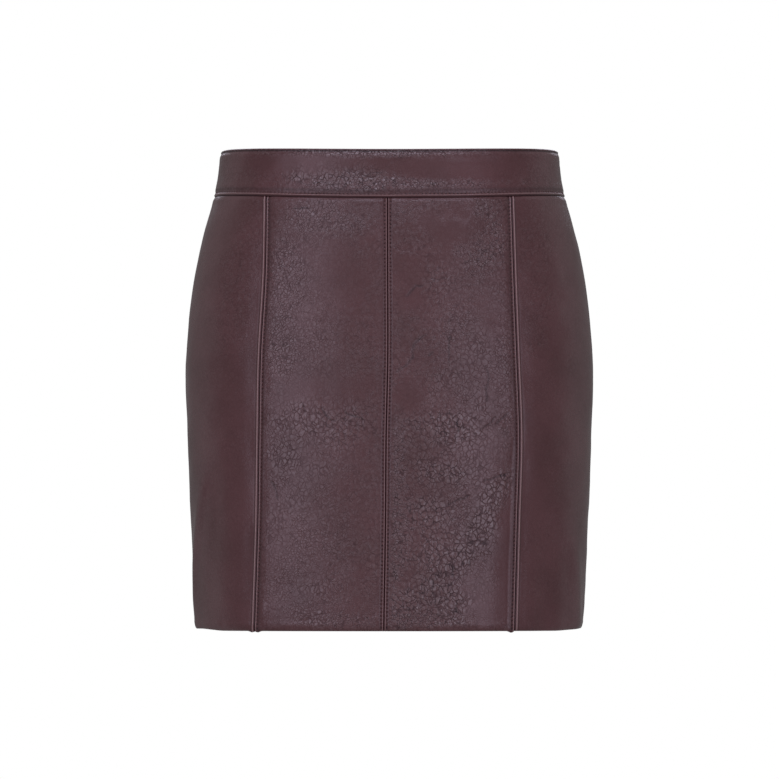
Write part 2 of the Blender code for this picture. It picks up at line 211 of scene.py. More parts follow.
@dataclass(frozen=True)
class SkirtForm:
    """The base surface that every piece is built on, the same as the solids'."""

    length: float = 0.398
    band_height: float = 0.040
    front_dip: float = 0.0085
    side_narrowing: float = 0.0020
    side_seam_turn: float = 2.0
    centre_back_turn: float = 90.0
    rings: tuple[Ring, ...] = (
        Ring(0.000, 0.1392, 0.0920, 0.0940, 2.20),
        Ring(0.040, 0.1454, 0.0970, 0.1000, 2.20),
        Ring(0.071, 0.1538, 0.1025, 0.1110, 2.25),
        Ring(0.110, 0.1620, 0.1065, 0.1225, 2.30),
        Ring(0.150, 0.1667, 0.1090, 0.1290, 2.30),
        Ring(0.188, 0.1685, 0.1100, 0.1305, 2.30),
        Ring(0.239, 0.1669, 0.1100, 0.1280, 2.30),
        Ring(0.299, 0.1645, 0.1090, 0.1230, 2.35),
        Ring(0.359, 0.1615, 0.1080, 0.1190, 2.35),
        Ring(0.385, 0.1600, 0.1075, 0.1175, 2.35),
        Ring(0.398, 0.1583, 0.1065, 0.1160, 2.35),
    )
    seams: tuple[FrontSeams, ...] = (
        FrontSeams(0.040, -0.1002, -0.0016, 0.0990),
        FrontSeams(0.108, -0.1007, -0.0015, 0.1006),
        FrontSeams(0.178, -0.1044, -0.0014, 0.1030),
        FrontSeams(0.243, -0.1055, -0.0027, 0.1052),
        FrontSeams(0.308, -0.1063, -0.0032, 0.1034),
        FrontSeams(0.398, -0.1092, -0.0046, 0.1010),
    )
    folds: tuple[Fold, ...] = (
        Fold(-156.0, -173.0, 0.190, 0.0110, 0.0018),
        Fold(-24.0, -15.0, 0.230, 0.0150, 0.0014),
        Fold(30.0, 26.0, 0.200, 0.0160, 0.0020),
        Fold(62.0, 66.0, 0.240, 0.0200, -0.0018),
        Fold(118.0, 113.0, 0.230, 0.0190, -0.0020),
        Fold(150.0, 155.0, 0.190, 0.0150, 0.0018),
    )

    def point(self, turn: Array, drop: Array) -> Array:
        """Points of the base surface: a superellipse at each level, read by its turn.

        Args:
            turn: Turns in degrees.
            drop: Drops in metres, of the same shape.

        Returns:
            Points, with a last axis of three.
        """
        angle = np.radians(turn)
        cosine, sine = np.cos(angle), np.sin(angle)
        half_width = smooth_read(self.rings, "half_width", drop)
        front = smooth_read(self.rings, "front_depth", drop)
        back = smooth_read(self.rings, "back_depth", drop)
        depth = np.where(sine < 0, front, back)
        power = smooth_read(self.rings, "squareness", drop)
        radius = (np.abs(cosine / half_width) ** power + np.abs(sine / depth) ** power) ** (-1 / power)
        height = self.band_height / 2 - drop
        return np.stack([radius * cosine, radius * sine, height + 0 * radius], axis=-1)

    def normal(self, turn: Array, drop: Array) -> Array:
        """Unit normals of the base surface, from small steps along its two directions."""
        step_turn, step_drop = 0.2, 0.0004
        along = self.point(turn + step_turn, drop) - self.point(turn - step_turn, drop)
        up = self.point(turn, drop - step_drop) - self.point(turn, drop + step_drop)
        normal = np.cross(along, up)
        return normal / np.linalg.norm(normal, axis=-1, keepdims=True)

    def waist_dip(self, turn: Array) -> Array:
        """How far the waist sinks at a turn, in metres: all of it at the centre front."""
        y = self.point(turn, np.full_like(turn, self.band_height))[..., 1]
        forward = np.clip(FRONT_SIGN * y / smooth_read(self.rings, "front_depth", self.band_height), 0, 1)
        return self.front_dip * forward**2

    def hung(self, down: Array, dip: Array | float) -> Array:
        """The drop at a distance below the waist seam, in millimetres, where the waist sinks by a dip.

        The rows follow the waist seam for 6 mm, then spread evenly, and are level 6 mm above the hem.
        """
        length = (self.length - self.band_height) / MM
        share = np.clip((length - 6.0 - down) / (length - 12.0), 0, 1)
        return self.band_height + down * MM + dip * share

    def narrowing(self, turn: Array, down: Array) -> Array:
        """How far the waistband's top edge sinks towards the side seams, in metres."""
        return self.side_narrowing * np.cos(np.radians(turn)) ** 4 * (1 - down / self.band_height)

    def fold_lift(self, turn: Array, drop: Array) -> Array:
        """The soft folds' lift in metres: a bell across each leaning line, growing to the hem."""
        lift = np.zeros(np.broadcast(turn, drop).shape)
        radius = np.linalg.norm(self.point(turn, drop)[..., :2], axis=-1)
        for fold in self.folds:
            growth = np.clip((drop - fold.start_drop) / (self.length - fold.start_drop), 0, 1)
            line = fold.start_turn + (fold.hem_turn - fold.start_turn) * growth
            distance = np.radians((turn - line + 180) % 360 - 180) * radius
            lift = lift + fold.height * ease(growth) * np.exp(-((distance / fold.width) ** 2))
        return lift

    def turn_at(self, x: Array, drop: Array) -> Array:
        """The turn, on the front half, where each level has the given x."""
        turns = np.linspace(-179.0, -1.0, 721)
        found = [
            np.interp(level_x, self.point(turns, np.full_like(turns, level))[:, 0], turns)
            for level_x, level in zip(x, drop)
        ]
        return np.array(found)


FORM = SkirtForm()


class Edge(Enum):
    """A panel edge: a fixed turn, or the name of a front seam."""

    RIGHT_SIDE = -180.0 - FORM.side_seam_turn
    RIGHT_PRINCESS = "right_princess"
    CENTRE_FRONT = "centre"
    LEFT_PRINCESS = "left_princess"
    LEFT_SIDE = FORM.side_seam_turn
    CENTRE_BACK = FORM.centre_back_turn
    RIGHT_SIDE_BEHIND = 180.0 - FORM.side_seam_turn

    def turns(self, drop: Array) -> Array:
        """The edge's turn at each drop."""
        if isinstance(self.value, str):
            return FORM.turn_at(smooth_read(FORM.seams, self.value, drop), drop)
        return np.full_like(drop, self.value)


class SeamFinish(Enum):
    """The leather beside a seam: how pale its crest is painted, partly burnishing and partly painted
    highlight, its foot's painted shade, and its lifts.

    The foot is a (distance, share, width), and the lifts are (distance, lift) knots, in millimetres.
    """

    TOPSTITCHED = (
        0.6,
        (3.0, 0.10, 1.4),
        ((0.0, -0.90), (1.0, 0.22), (2.2, -0.20), (4.2, 0.18), (10.0, 0.0)),
    )
    LAPPED = (
        0.8,
        (3.7, 0.30, 1.5),
        ((0.0, -1.05), (1.1, -0.02), (2.3, -0.48), (4.4, -0.12), (9.0, 0.12), (20.0, 0.0)),
    )
    ROLLED = (
        0.9,
        (3.0, 0.30, 0.55),
        ((0.0, -1.05), (1.45, 0.52), (3.0, -0.34), (5.0, -0.24), (15.0, 0.02), (24.0, 0.0)),
    )
    PRESSED = (0.1, (3.0, 0.0, 1.0), ((0.0, -0.60), (0.9, 0.08), (4.0, 0.0)))
    ZIPPED = (0.2, (3.0, 0.0, 1.0), ((0.0, -0.90), (0.8, 0.06), (4.0, 0.0)))

    def lift(self, distance: Array) -> Array:
        """The lift at each distance from the edge, in millimetres."""
        return eased_profile(self.value[2], distance)

    def painted_shade_and_crest(self, distance: Array) -> Array:
        """The painted shade that the seam adds in a ditch at the edge and on a foot, and, as a negative
        share, its pale crest: partly burnishing, partly painted highlight.
        """
        burnish_and_highlight, (foot, share, width), knots = self.value
        crest = np.exp(-(((distance - knots[1][0]) / 0.42) ** 2))
        shade = share * np.exp(-(((distance - foot) / width) ** 2))
        return 0.9 * np.exp(-((distance / 0.5) ** 2)) - burnish_and_highlight * crest + shade


# ------------------------------------------------------------------------------------ leather relief
@dataclass
class Relief:
    """A surface's lift in millimetres, with its depth, vigour and coarseness.

    Depth is how much painted shade each point gets in creases, ditches and needle holes, 0 to 1, or
    below 0 how pale its crest is painted, partly burnishing and partly painted highlight. Vigour is
    how lively the pebbled grain is, and coarseness how much of it is of the larger pebbles.
    """

    lift: Array
    depth: Array
    vigour: Array
    coarseness: Array

    def faded(self, share: Array) -> Relief:
        """The same relief with only a share of its lift, depth and vigour."""
        return Relief(self.lift * share, self.depth * share, self.vigour * share, self.coarseness)


@dataclass(frozen=True)
class Zone:
    """A soft-edged oval of a piece. Places and sizes are in millimetres.

    Its place is from the piece's start edge and down from its top. Its bearing, in degrees from
    straight across towards straight down, is the way that its reach runs.
    """

    across: float
    down: float
    reach: float
    width: float
    bearing: float

    rim: float = field(default=1.1, init=False)

    def turned(self, across: Array, down: Array) -> tuple[Array, Array]:
        """Distances along and across the zone's own line."""
        angle = math.radians(self.bearing)
        x, y = across - self.across, down - self.down
        return x * math.cos(angle) + y * math.sin(angle), y * math.cos(angle) - x * math.sin(angle)

    def cover(self, across: Array, down: Array, ragged: Array) -> Array:
        """How much of each point the zone covers, 0 to 1, with a ragged rim."""
        run, side = self.turned(across, down)
        inside = 1.0 - np.hypot(run / self.reach, side / self.width) + 0.8 * ragged
        return ease(0.5 + self.rim * inside)


@dataclass(frozen=True)
class Grain(Zone):
    """A patch of coarser shrunken grain, whose pebbles may be stretched along its bearing."""

    pebble: float
    height: float
    stretch: float = 1.0


@dataclass(frozen=True)
class Calm(Zone):
    """A patch that was stretched flat on the hide, with little grain, and sunk a little."""

    share: float = 0.6
    sunk: float = 0.0

    rim: float = field(default=0.8, init=False)


@dataclass(frozen=True)
class Crease:
    """A trough, or with a positive height a ridge, along a line of (across, down) points in millimetres."""

    line: tuple[tuple[float, float], ...]
    width: float
    height: float

    def trough(self, across: Array, down: Array) -> Array:
        """How deep each point lies in the crease, 0 to 1, fading out at both of its ends."""
        knots = np.array(self.line)
        spans = np.diff(knots, axis=0)
        lengths = np.linalg.norm(spans, axis=1)
        starts = np.concatenate([[0.0], np.cumsum(lengths)[:-1]])
        best, place = np.full(across.shape, np.inf), np.zeros(across.shape)
        for knot, span, length, start in zip(knots, spans, lengths, starts):
            x, y = across - knot[0], down - knot[1]
            share = np.clip((x * span[0] + y * span[1]) / length**2, 0.0, 1.0)
            away = np.hypot(x - share * span[0], y - share * span[1])
            place = np.where(away < best, (start + share * length) / lengths.sum(), place)
            best = np.minimum(best, away)
        fade = ease(4.0 * np.minimum(place, 1.0 - place) + 0.15)
        return fade * np.exp(-((best / self.width) ** 2))


@dataclass(frozen=True)
class Hide:
    """One cut piece of leather: its own fine grain, patches of coarse grain, calm patches and creases.

    Grain is the fine pebbles' width in millimetres, and fine how lively they are. Swell is the height
    of its soft swells. In its patches the mesh's lumps are lump times the patch's pebbles wide, and
    the drawn pebbles are as lively as shrunken says.
    """

    seed: int
    grain: float = 4.0
    grain_height: float = 0.12
    fine: float = 0.5
    coarse: float = 0.2
    swell: float = 0.26
    lump: float = 1.6
    shrunken: float = 1.0
    patches: tuple[Grain, ...] = ()
    calms: tuple[Calm, ...] = ()
    creases: tuple[Crease, ...] = ()

    def ragged(self, across: Array, down: Array, number: int) -> Array:
        """The noise that roughens a zone's rim."""
        wide = 0.40 * soft_noise(across, down, 11.0, self.seed + 20 + number)
        return wide + 0.25 * soft_noise(across, down, 4.5, self.seed + 40 + number)

    def sway(self, across: Array, down: Array) -> Array:
        """The soft swells and broad creases, which both faces of the leather follow, in millimetres."""
        lift = soft_noise(across, down, 31.0, self.seed + 6)
        lift = self.swell * (lift + 0.9 * soft_noise(across, down, 14.0, self.seed + 7))
        for crease in self.creases:
            if crease.width > 4.0:
                lift += crease.height * crease.trough(across, down)
        return lift

    def relief(self, across: Array, down: Array) -> Relief:
        """The leather's own relief on its sway: fine pebbles, patches of coarse ones and narrow creases.

        Args:
            across: Millimetres from the piece's start edge.
            down: Millimetres below its top.

        Returns:
            The relief.
        """
        seed = self.seed
        warp = [1.1 * soft_noise(across, down, 5.3, seed + k) for k in (0, 2)]
        warp = [wide + 0.35 * soft_noise(across, down, 1.9, seed + k) for wide, k in zip(warp, (1, 3))]
        warped_across, warped_down = across + warp[0], down + warp[1]
        gap, own = pebbles(warped_across / self.grain, warped_down / self.grain, seed + 4)
        dome = domed(gap)
        lively = 0.75 + 0.25 * soft_noise(across, down, 17.0, seed + 5)
        lift = self.grain_height * lively * (dome * (0.7 + 0.6 * own) - 0.7)
        # Painted shade in the creases between the pebbles.
        depth = min(0.3, self.grain_height) * (1.0 - dome) ** 2 * lively
        vigour = self.fine * lively
        coarseness = np.clip(self.coarse + 0.5 * soft_noise(across, down, 19.0, seed + 8), 0.0, 1.0)
        for number, patch in enumerate(self.patches):
            cover = patch.cover(across, down, self.ragged(across, down, number))
            held = cover > 0.0
            run, side = patch.turned(warped_across[held], warped_down[held])
            lump = self.lump * patch.pebble
            gap, own = pebbles(run / (lump * patch.stretch), side / lump, seed + 60 + number)
            dome = domed(gap, 0.45)
            share = cover[held]
            lift[held] *= 1.0 - 0.7 * share
            lift[held] += share * 0.6 * patch.height * (dome * (0.65 + 0.7 * own) - 0.75)
            # Painted shade in the patch's own creases.
            depth[held] = depth[held] * (1.0 - 0.7 * share) + 0.10 * share * (1.0 - dome) ** 2
            vigour[held] += 0.8 * share * (self.shrunken - vigour[held])
            coarseness[held] += share * (min(1.0, max(0.0, (patch.pebble - 2.5) / 0.9)) - coarseness[held])
        for number, calm in enumerate(self.calms):
            cover = calm.cover(across, down, self.ragged(across, down, 9 + number))
            kept = 1.0 - calm.share * cover
            lift, depth, vigour = lift * kept - calm.sunk * cover, depth * kept, vigour * kept
        for crease in self.creases:
            if crease.width > 4.0:
                continue
            trough = crease.trough(across + warp[0], down + warp[1])
            lift += crease.height * trough
            # A trough is darkened with painted shade.
            if crease.height < 0:
                depth = np.maximum(depth, 0.55 * trough)
        return Relief(lift + self.sway(across, down), depth, vigour, coarseness)


@dataclass
class Patch:
    """A grid over the base surface, with its distances from the piece's edges in millimetres."""

    turn: Array
    drop: Array
    across: Array
    back: Array
    down: Array

    def placed(self, lift: Array | float) -> Array:
        """The grid's points at a lift in millimetres."""
        lift = np.broadcast_to(lift, self.turn.shape)
        return FORM.point(self.turn, self.drop) + FORM.normal(self.turn, self.drop) * (lift * MM)[..., None]

    def flat(self) -> Array:
        """Each point's place on the flat leather, in metres."""
        return np.stack([self.across, -self.down], axis=-1).reshape(-1, 2) * MM

    def row_line(self, distance: float, from_end: bool = False) -> tuple[Array, Array]:
        """The turn and drop, at each row, at a distance from the start or the end edge."""
        ruler, turn, drop = self.across, self.turn, self.drop
        if from_end:
            ruler, turn, drop = self.back[:, ::-1], turn[:, ::-1], drop[:, ::-1]
        read = [[np.interp(distance, r, v) for r, v in zip(ruler, values)] for values in (turn, drop)]
        return np.array(read[0]), np.array(read[1])


def graded(length: float, fine: float, coarse: float, reach: float, share: int) -> Array:
    """Stations from 0 to a length, close together near both ends.

    Args:
        length: The length to cover.
        fine: Spacing within reach of an end.
        coarse: Spacing between.
        reach: How far the fine spacing goes.
        share: The number of steps is a whole number of times this.

    Returns:
        The stations.
    """
    edge = np.linspace(0.0, reach, int(round(reach / fine)) + 1)
    rest = int(round((length - 2 * reach) / coarse))
    rest += -(rest + 2 * (len(edge) - 1)) % share
    middle = np.linspace(reach, length - reach, rest + 1)[1:-1]
    return np.concatenate([edge, middle, length - edge[::-1]])


def snapped(stations: Array, at: float, apart: float) -> Array:
    """The stations, with the two on either side of a place drawn close to it."""
    k = int(np.clip(np.searchsorted(stations, at), 1, len(stations) - 1))
    moved = stations.copy()
    moved[k - 1], moved[k] = at - apart / 2, at + apart / 2
    return moved


# ------------------------------------------------------------------------------------ meshes
@dataclass
class Faces:
    """Faces with one corner count, and the material slot of all or of each."""

    corners: Array
    slot: Array | int = 0


def new_mesh(
    name: str,
    points: Array,
    faces: list[Faces],
    materials: list[bpy.types.Material],
    uv: Array | None = None,
    relief: Relief | None = None,
) -> Object:
    """Makes a mesh object at the origin from whole arrays.

    Args:
        name: The object's name.
        points: Corner points, n by 3.
        faces: Groups of faces.
        materials: One for each slot.
        uv: A point's place on the flat leather or tape, in metres.
        relief: The relief whose depth and vigour the material reads, for the first points.

    Returns:
        The object.
    """
    mesh = bpy.data.meshes.new(name)
    corners = np.concatenate([group.corners.ravel() for group in faces]).astype(np.int32)
    sizes = np.concatenate([np.full(len(group.corners), group.corners.shape[1]) for group in faces])
    slots = np.concatenate([np.broadcast_to(group.slot, len(group.corners)) for group in faces])
    starts = np.concatenate([[0], np.cumsum(sizes)[:-1]]).astype(np.int32)
    mesh.vertices.add(len(points))
    mesh.vertices.foreach_set("co", np.asarray(points, np.float32).ravel())
    mesh.loops.add(len(corners))
    mesh.loops.foreach_set("vertex_index", corners)
    mesh.polygons.add(len(sizes))
    mesh.polygons.foreach_set("loop_start", starts)
    mesh.polygons.foreach_set("material_index", slots.astype(np.int32))
    for made in materials:
        mesh.materials.append(made)
    mesh.update(calc_edges=True)
    if uv is not None:
        layer = mesh.uv_layers.new(name="flat")
        layer.data.foreach_set("uv", np.asarray(uv, np.float32)[corners].ravel())
    if relief is not None:
        # The crease attribute is painted shade in creases, ditches and needle holes, and below 0 a pale
        # crest.
        columns = (
            ("crease", relief.depth, 0.0),
            ("grain", relief.vigour, 0.6),
            ("coarseness", relief.coarseness, 0.2),
        )
        for label, values, rest in columns:
            every = np.full(len(points), rest, np.float32)
            every[: values.size] = values.ravel()
            mesh.attributes.new(label, "FLOAT", "POINT").data.foreach_set("value", every)
    mesh.shade_smooth()
    obj = bpy.data.objects.new(name, mesh)
    bpy.context.scene.collection.objects.link(obj)
    return obj


def grid_faces(index: Array, flipped: bool = False) -> Array:
    """Four-sided faces of a grid of corner numbers, rows down and columns along a growing turn."""
    corners = [index[:-1, :-1], index[1:, :-1], index[1:, 1:], index[:-1, 1:]]
    return np.stack([c.ravel() for c in (corners[::-1] if flipped else corners)], axis=-1)


def border_faces(fine: Array, coarse: Array) -> Array:
    """Faces between a fine border and a coarse one beside it.

    Args:
        fine: Corner numbers along the fine border, with the outer face's edges run backwards.
        coarse: Corner numbers along the coarse one, every so many of the fine stations.

    Returns:
        Faces with the fine corners of one coarse step, then that step's two coarse corners.
    """
    step = (len(fine) - 1) // (len(coarse) - 1)
    runs = [fine[i : len(fine) - step + i : step] for i in range(step)] + [fine[step::step]]
    return np.stack([*runs, coarse[1:], coarse[:-1]], axis=-1)


def shell_faces(outer: Array, inner: Array, inner_slot: Array | int) -> list[Faces]:
    """A closed shell's faces: the outer grid, the inner grid, and the borders between them."""
    return [
        Faces(grid_faces(outer), 0),
        Faces(grid_faces(inner, flipped=True), inner_slot),
        Faces(border_faces(outer[0], inner[0]), 0),
        Faces(border_faces(outer[-1, ::-1], inner[-1, ::-1]), 0),
        Faces(border_faces(outer[::-1, 0], inner[::-1, 0]), 0),
        Faces(border_faces(outer[:, -1], inner[:, -1]), 0),
    ]


def tube_faces(count: int, rings: int, sides: int) -> list[Faces]:
    """Faces of many equal closed tubes: corner numbers run round each ring, ring after ring."""
    index = np.arange(count * rings * sides).reshape(count, rings, sides)
    here, there = index[:, :-1], index[:, 1:]
    walls = np.stack([here, np.roll(here, -1, 2), np.roll(there, -1, 2), there], axis=-1)
    ends = np.concatenate([index[:, 0, ::-1], index[:, -1]])
    return [Faces(walls.reshape(-1, 4)), Faces(ends.reshape(-1, sides))]


def tube_points(path: Array, side: Array, up: Array, radius: Array | float, sides: int) -> Array:
    """Rings of points round paths.

    Args:
        path: Centre points, count by rings by 3.
        side: Unit vectors across each path, the same shape.
        up: Unit vectors square to them, the same shape.
        radius: The tube's radius, a number or one for each ring.
        sides: Points round each ring.

    Returns:
        Points, n by 3, in the order that tube_faces numbers them.
    """
    angle = 2 * np.pi * np.arange(sides) / sides
    spoke = side[..., None, :] * np.cos(angle)[:, None] + up[..., None, :] * np.sin(angle)[:, None]
    radius = np.broadcast_to(radius, path.shape[:-1])
    return (path[..., None, :] + spoke * radius[..., None, None]).reshape(-1, 3)


def ring_plate(
    angle: Array, outer: Array, inner: Array, thickness: float, bevel: float
) -> tuple[Array, Faces]:
    """A flat ring: on each ray, one closed section round its outer edge and back round its inner edge.

    Args:
        angle: The rays' angles.
        outer: The outer radius on each ray.
        inner: The inner radius on each ray.
        thickness: The plate's thickness.
        bevel: How far its four edges are rounded.

    Returns:
        Points in x, y and height, and their faces.
    """
    quarter = np.radians(np.linspace(0, 90, 4))
    inset, height = bevel * (1 - np.sin(quarter)), thickness / 2 - bevel * (1 - np.cos(quarter))
    height = np.concatenate([height, -height[::-1], -height, height[::-1]])
    edge = np.broadcast_to(np.concatenate([inset, inset[::-1]]), (len(angle), 8))
    radius = np.concatenate([outer[:, None] - edge, inner[:, None] + edge], axis=1)
    ray = np.stack([np.cos(angle), np.sin(angle)], axis=-1)[:, None]
    spots = np.concatenate([radius[..., None] * ray, (height + 0 * radius)[..., None]], axis=-1)
    index = np.arange(radius.size).reshape(radius.shape)
    ahead = np.roll(index, -1, 0)
    corners = np.stack([index, np.roll(index, -1, 1), np.roll(ahead, -1, 1), ahead], axis=-1)
    return spots.reshape(-1, 3), Faces(corners.reshape(-1, 4))


def slab(outline: Array, low: float, high: float, bevel: float) -> tuple[Array, list[Faces]]:
    """A closed slab over an outline, with rounded edges: the outline, ring by ring, shrunk at both ends."""
    quarter = np.radians(np.linspace(0, 90, 4))
    inset, rise = bevel * (1 - np.sin(quarter)), bevel * (1 - np.cos(quarter))
    heights = np.concatenate([low + rise, high - rise[::-1]])
    shrink = 1.0 - np.concatenate([inset, inset[::-1]]) / np.abs(outline).max(axis=0)[:, None]
    rings = outline[None] * shrink.T[:, None]
    spots = np.concatenate([rings, np.broadcast_to(heights[:, None, None], (*rings.shape[:2], 1))], axis=-1)
    return spots.reshape(-1, 3), tube_faces(1, len(heights), len(outline))


# ------------------------------------------------------------------------------------ materials
def linear(hex_colour: str) -> tuple[float, float, float, float]:
    """An sRGB hex colour as linear red, green, blue and alpha."""
    channels = [int(hex_colour[i : i + 2], 16) / 255 for i in (1, 3, 5)]
    return (*(c / 12.92 if c <= 0.04045 else ((c + 0.055) / 1.055) ** 2.4 for c in channels), 1.0)


def add(tree: bpy.types.NodeTree, kind: str, links: dict | None = None, **settings) -> bpy.types.Node:
    """Adds one node.

    Args:
        tree: The material's node tree.
        kind: The node's type, without ShaderNode.
        links: Input names or numbers, each with a value or an output socket.
        **settings: The node's own properties.

    Returns:
        The node.
    """
    node = tree.nodes.new("ShaderNode" + kind)
    for name, value in settings.items():
        setattr(node, name, value)
    for name, value in (links or {}).items():
        if isinstance(value, bpy.types.NodeSocket):
            tree.links.new(value, node.inputs[name])
        else:
            node.inputs[name].default_value = value
    return node


def new_material(name: str) -> tuple[bpy.types.Material, bpy.types.NodeTree, bpy.types.Node]:
    """A material with only a Principled BSDF and its output."""
    made = bpy.data.materials.new(name)
    made.use_nodes = True
    return made, made.node_tree, made.node_tree.nodes["Principled BSDF"]


def blend_colours(
    tree: bpy.types.NodeTree, share: object, first: object, second: object
) -> bpy.types.NodeSocket:
    """The colour between two, at a share from 0 to 1."""
    mix = add(tree, "Mix", data_type="RGBA")
    for socket, value in zip((mix.inputs[0], mix.inputs[6], mix.inputs[7]), (share, first, second)):
        if isinstance(value, bpy.types.NodeSocket):
            tree.links.new(value, socket)
        else:
            socket.default_value = value
    return mix.outputs[2]


@dataclass(frozen=True)
class ShrunkenLeather:
    """Drum-dyed leather with a shrunken grain and a semi-matt lacquer. Sizes are in metres.

    The lacquer gathers on the pebbles' tops, so they catch soft grey highlights where the grain is
    lively, and stretched leather stays a plain dull red. Shrinking leaves thin creases, broken here
    and there, which are painted darker with painted shade and made duller, as are the seams' ditches
    and the needle holes. The pebbles' tops and the seams' crests are painted paler: partly burnishing,
    partly painted highlight. The finest pebbles and pores are drawn in the bump, as lively as the
    mesh's own grain there.
    """

    name: str = "shrunken_leather"
    worn: str = "#644144"
    dyed: str = "#59383a"
    # The colour of painted shade in the creases, the seams' ditches and the needle holes.
    deep: str = "#2a1316"
    # The pale colour of the seams' crests and the pebbles' tops: partly burnishing, partly painted
    # highlight.
    burnish_and_highlight: str = "#ab8a8b"
    roughness: float = 0.28
    crease_roughness: float = 0.50
    lacquer: str = "#f9f7ff"
    pebbles: tuple[float, float] = (0.0025, 0.0035)
    pebble_height: float = 0.00026
    gloss: tuple[float, float] = (0.36, 1.00)
    broken: float = 0.0055
    lump: float = 0.0034
    pore: float = 0.0007
    cloud: float = 0.055

    def build(self) -> bpy.types.Material:
        """Makes the material, on the flat leather's own metres."""
        made, tree, shader = new_material(self.name)
        flat = add(tree, "UVMap", uv_map="flat").outputs[0]
        crease = add(tree, "Attribute", attribute_name="crease").outputs["Fac"]
        grain = add(tree, "Attribute", attribute_name="grain").outputs["Fac"]
        coarse = add(tree, "Attribute", attribute_name="coarseness").outputs["Fac"]
        broken = add(tree, "TexNoise", {"Vector": flat, "Scale": 1 / self.broken, "Detail": 2.0})
        broken = add(tree, "MapRange", {0: broken.outputs[0], 1: 0.35, 2: 0.65, 3: 0.45, 4: 1.15})
        bend = add(tree, "TexNoise", {"Vector": flat, "Scale": 0.36 / self.pebbles[0], "Detail": 1.0})
        bend = add(tree, "VectorMath", {0: bend.outputs[1], 1: (0.5, 0.5, 0.5)}, operation="SUBTRACT")
        bend = add(tree, "VectorMath", {0: bend.outputs[0], 3: 2.6 * self.pebbles[0]}, operation="SCALE")
        bent = add(tree, "VectorMath", {0: flat, 1: bend.outputs[0]}, operation="ADD").outputs[0]
        domes = []
        for width, taller in zip(self.pebbles, (1.0, 1.35)):
            laid = add(tree, "VectorMath", {0: bent, 1: (1.0, 1.0 / taller, 1.0)}, operation="MULTIPLY")
            place = {"Vector": laid.outputs[0], "Scale": 1 / width}
            gap = add(tree, "TexVoronoi", place, feature="DISTANCE_TO_EDGE")
            domes.append(add(tree, "MapRange", {0: gap.outputs[0], 1: 0.0, 2: 0.17, 3: 0.0, 4: 1.0}))
            domes[-1].interpolation_type = "SMOOTHSTEP"
        coarse = add(tree, "MapRange", {0: coarse, 1: 0.35, 2: 0.65, 3: 0.0, 4: 1.0}).outputs[0]
        dome = add(tree, "Mix", {0: coarse, 2: domes[0].outputs[0], 3: domes[1].outputs[0]})
        lumps = add(tree, "TexNoise", {"Vector": flat, "Scale": 1 / self.lump, "Detail": 2.0})
        lumps = add(tree, "MapRange", {0: lumps.outputs[0], 1: 0.34, 2: 0.66, 3: 0.25, 4: 1.0})
        lively = add(tree, "Math", {0: dome.outputs[0], 1: lumps.outputs[0]}, operation="MULTIPLY")
        lively = add(tree, "Math", {0: lively.outputs[0], 1: grain}, operation="MULTIPLY").outputs[0]
        place = {"Vector": flat, "Scale": 1 / self.pore, "Detail": 3.0, "Roughness": 0.6}
        pores = add(tree, "TexNoise", place)
        raised = add(tree, "Math", {0: lively, 1: broken.outputs[0]}, operation="MULTIPLY").outputs[0]
        height = add(tree, "Math", {0: pores.outputs[0], 1: 0.04, 2: raised}, operation="MULTIPLY_ADD")
        bump = add(tree, "Bump", {"Height": height.outputs[0], "Distance": self.pebble_height})
        tree.links.new(bump.outputs[0], shader.inputs["Normal"])
        # Painted shade: the pebbles' creases and the crease attribute darken the colour and dull it.
        painted_shade = add(tree, "Math", {0: 1.0, 1: dome.outputs[0]}, operation="SUBTRACT")
        painted_shade = add(tree, "Math", {0: painted_shade.outputs[0], 1: 2.0}, operation="POWER")
        painted_shade = add(tree, "Math", {0: painted_shade.outputs[0], 1: broken.outputs[0]}, operation="MULTIPLY")
        painted_shade = add(tree, "Math", {0: painted_shade.outputs[0], 1: grain}, operation="MULTIPLY")
        painted_shade = add(tree, "Math", {0: painted_shade.outputs[0], 1: 0.72, 2: crease}, operation="MULTIPLY_ADD")
        # Burnishing and painted highlight: pale colour on the seams' crests and the lively pebble tops.
        burnish_and_highlight = add(tree, "MapRange", {0: crease, 1: -1.0, 2: 0.0, 3: 1.0, 4: 0.0}).outputs[0]
        burnish_and_highlight = add(tree, "Math", {0: lively, 1: 0.06, 2: burnish_and_highlight}, operation="MULTIPLY_ADD").outputs[0]
        place = {"Vector": flat, "Scale": 1 / self.cloud, "Detail": 3.0, "Roughness": 0.6}
        cloud = add(tree, "TexNoise", place)
        spread = add(tree, "MapRange", {0: cloud.outputs[0], 1: 0.35, 2: 0.65, 3: 0.0, 4: 1.0})
        hue = blend_colours(tree, spread.outputs[0], linear(self.worn), linear(self.dyed))
        hue = blend_colours(tree, burnish_and_highlight, hue, linear(self.burnish_and_highlight))
        hue = blend_colours(tree, painted_shade.outputs[0], hue, linear(self.deep))
        tree.links.new(hue, shader.inputs["Base Color"])
        low, high = self.roughness, self.crease_roughness
        dull = add(tree, "MapRange", {0: painted_shade.outputs[0], 1: 0.0, 2: 1.0, 3: low, 4: high})
        patchy = add(tree, "MapRange", {0: cloud.outputs[0], 1: 0.3, 2: 0.7, 3: -0.03, 4: 0.03})
        rough = add(tree, "Math", {0: dull.outputs[0], 1: patchy.outputs[0]}, operation="ADD")
        tree.links.new(rough.outputs[0], shader.inputs["Roughness"])
        shine = add(tree, "MapRange", {0: lively, 1: 0.0, 2: 1.0, 3: self.gloss[0], 4: self.gloss[1]})
        tree.links.new(shine.outputs[0], shader.inputs["Specular IOR Level"])
        shader.inputs["Specular Tint"].default_value = linear(self.lacquer)
        shader.inputs["IOR"].default_value = 1.58
        return made


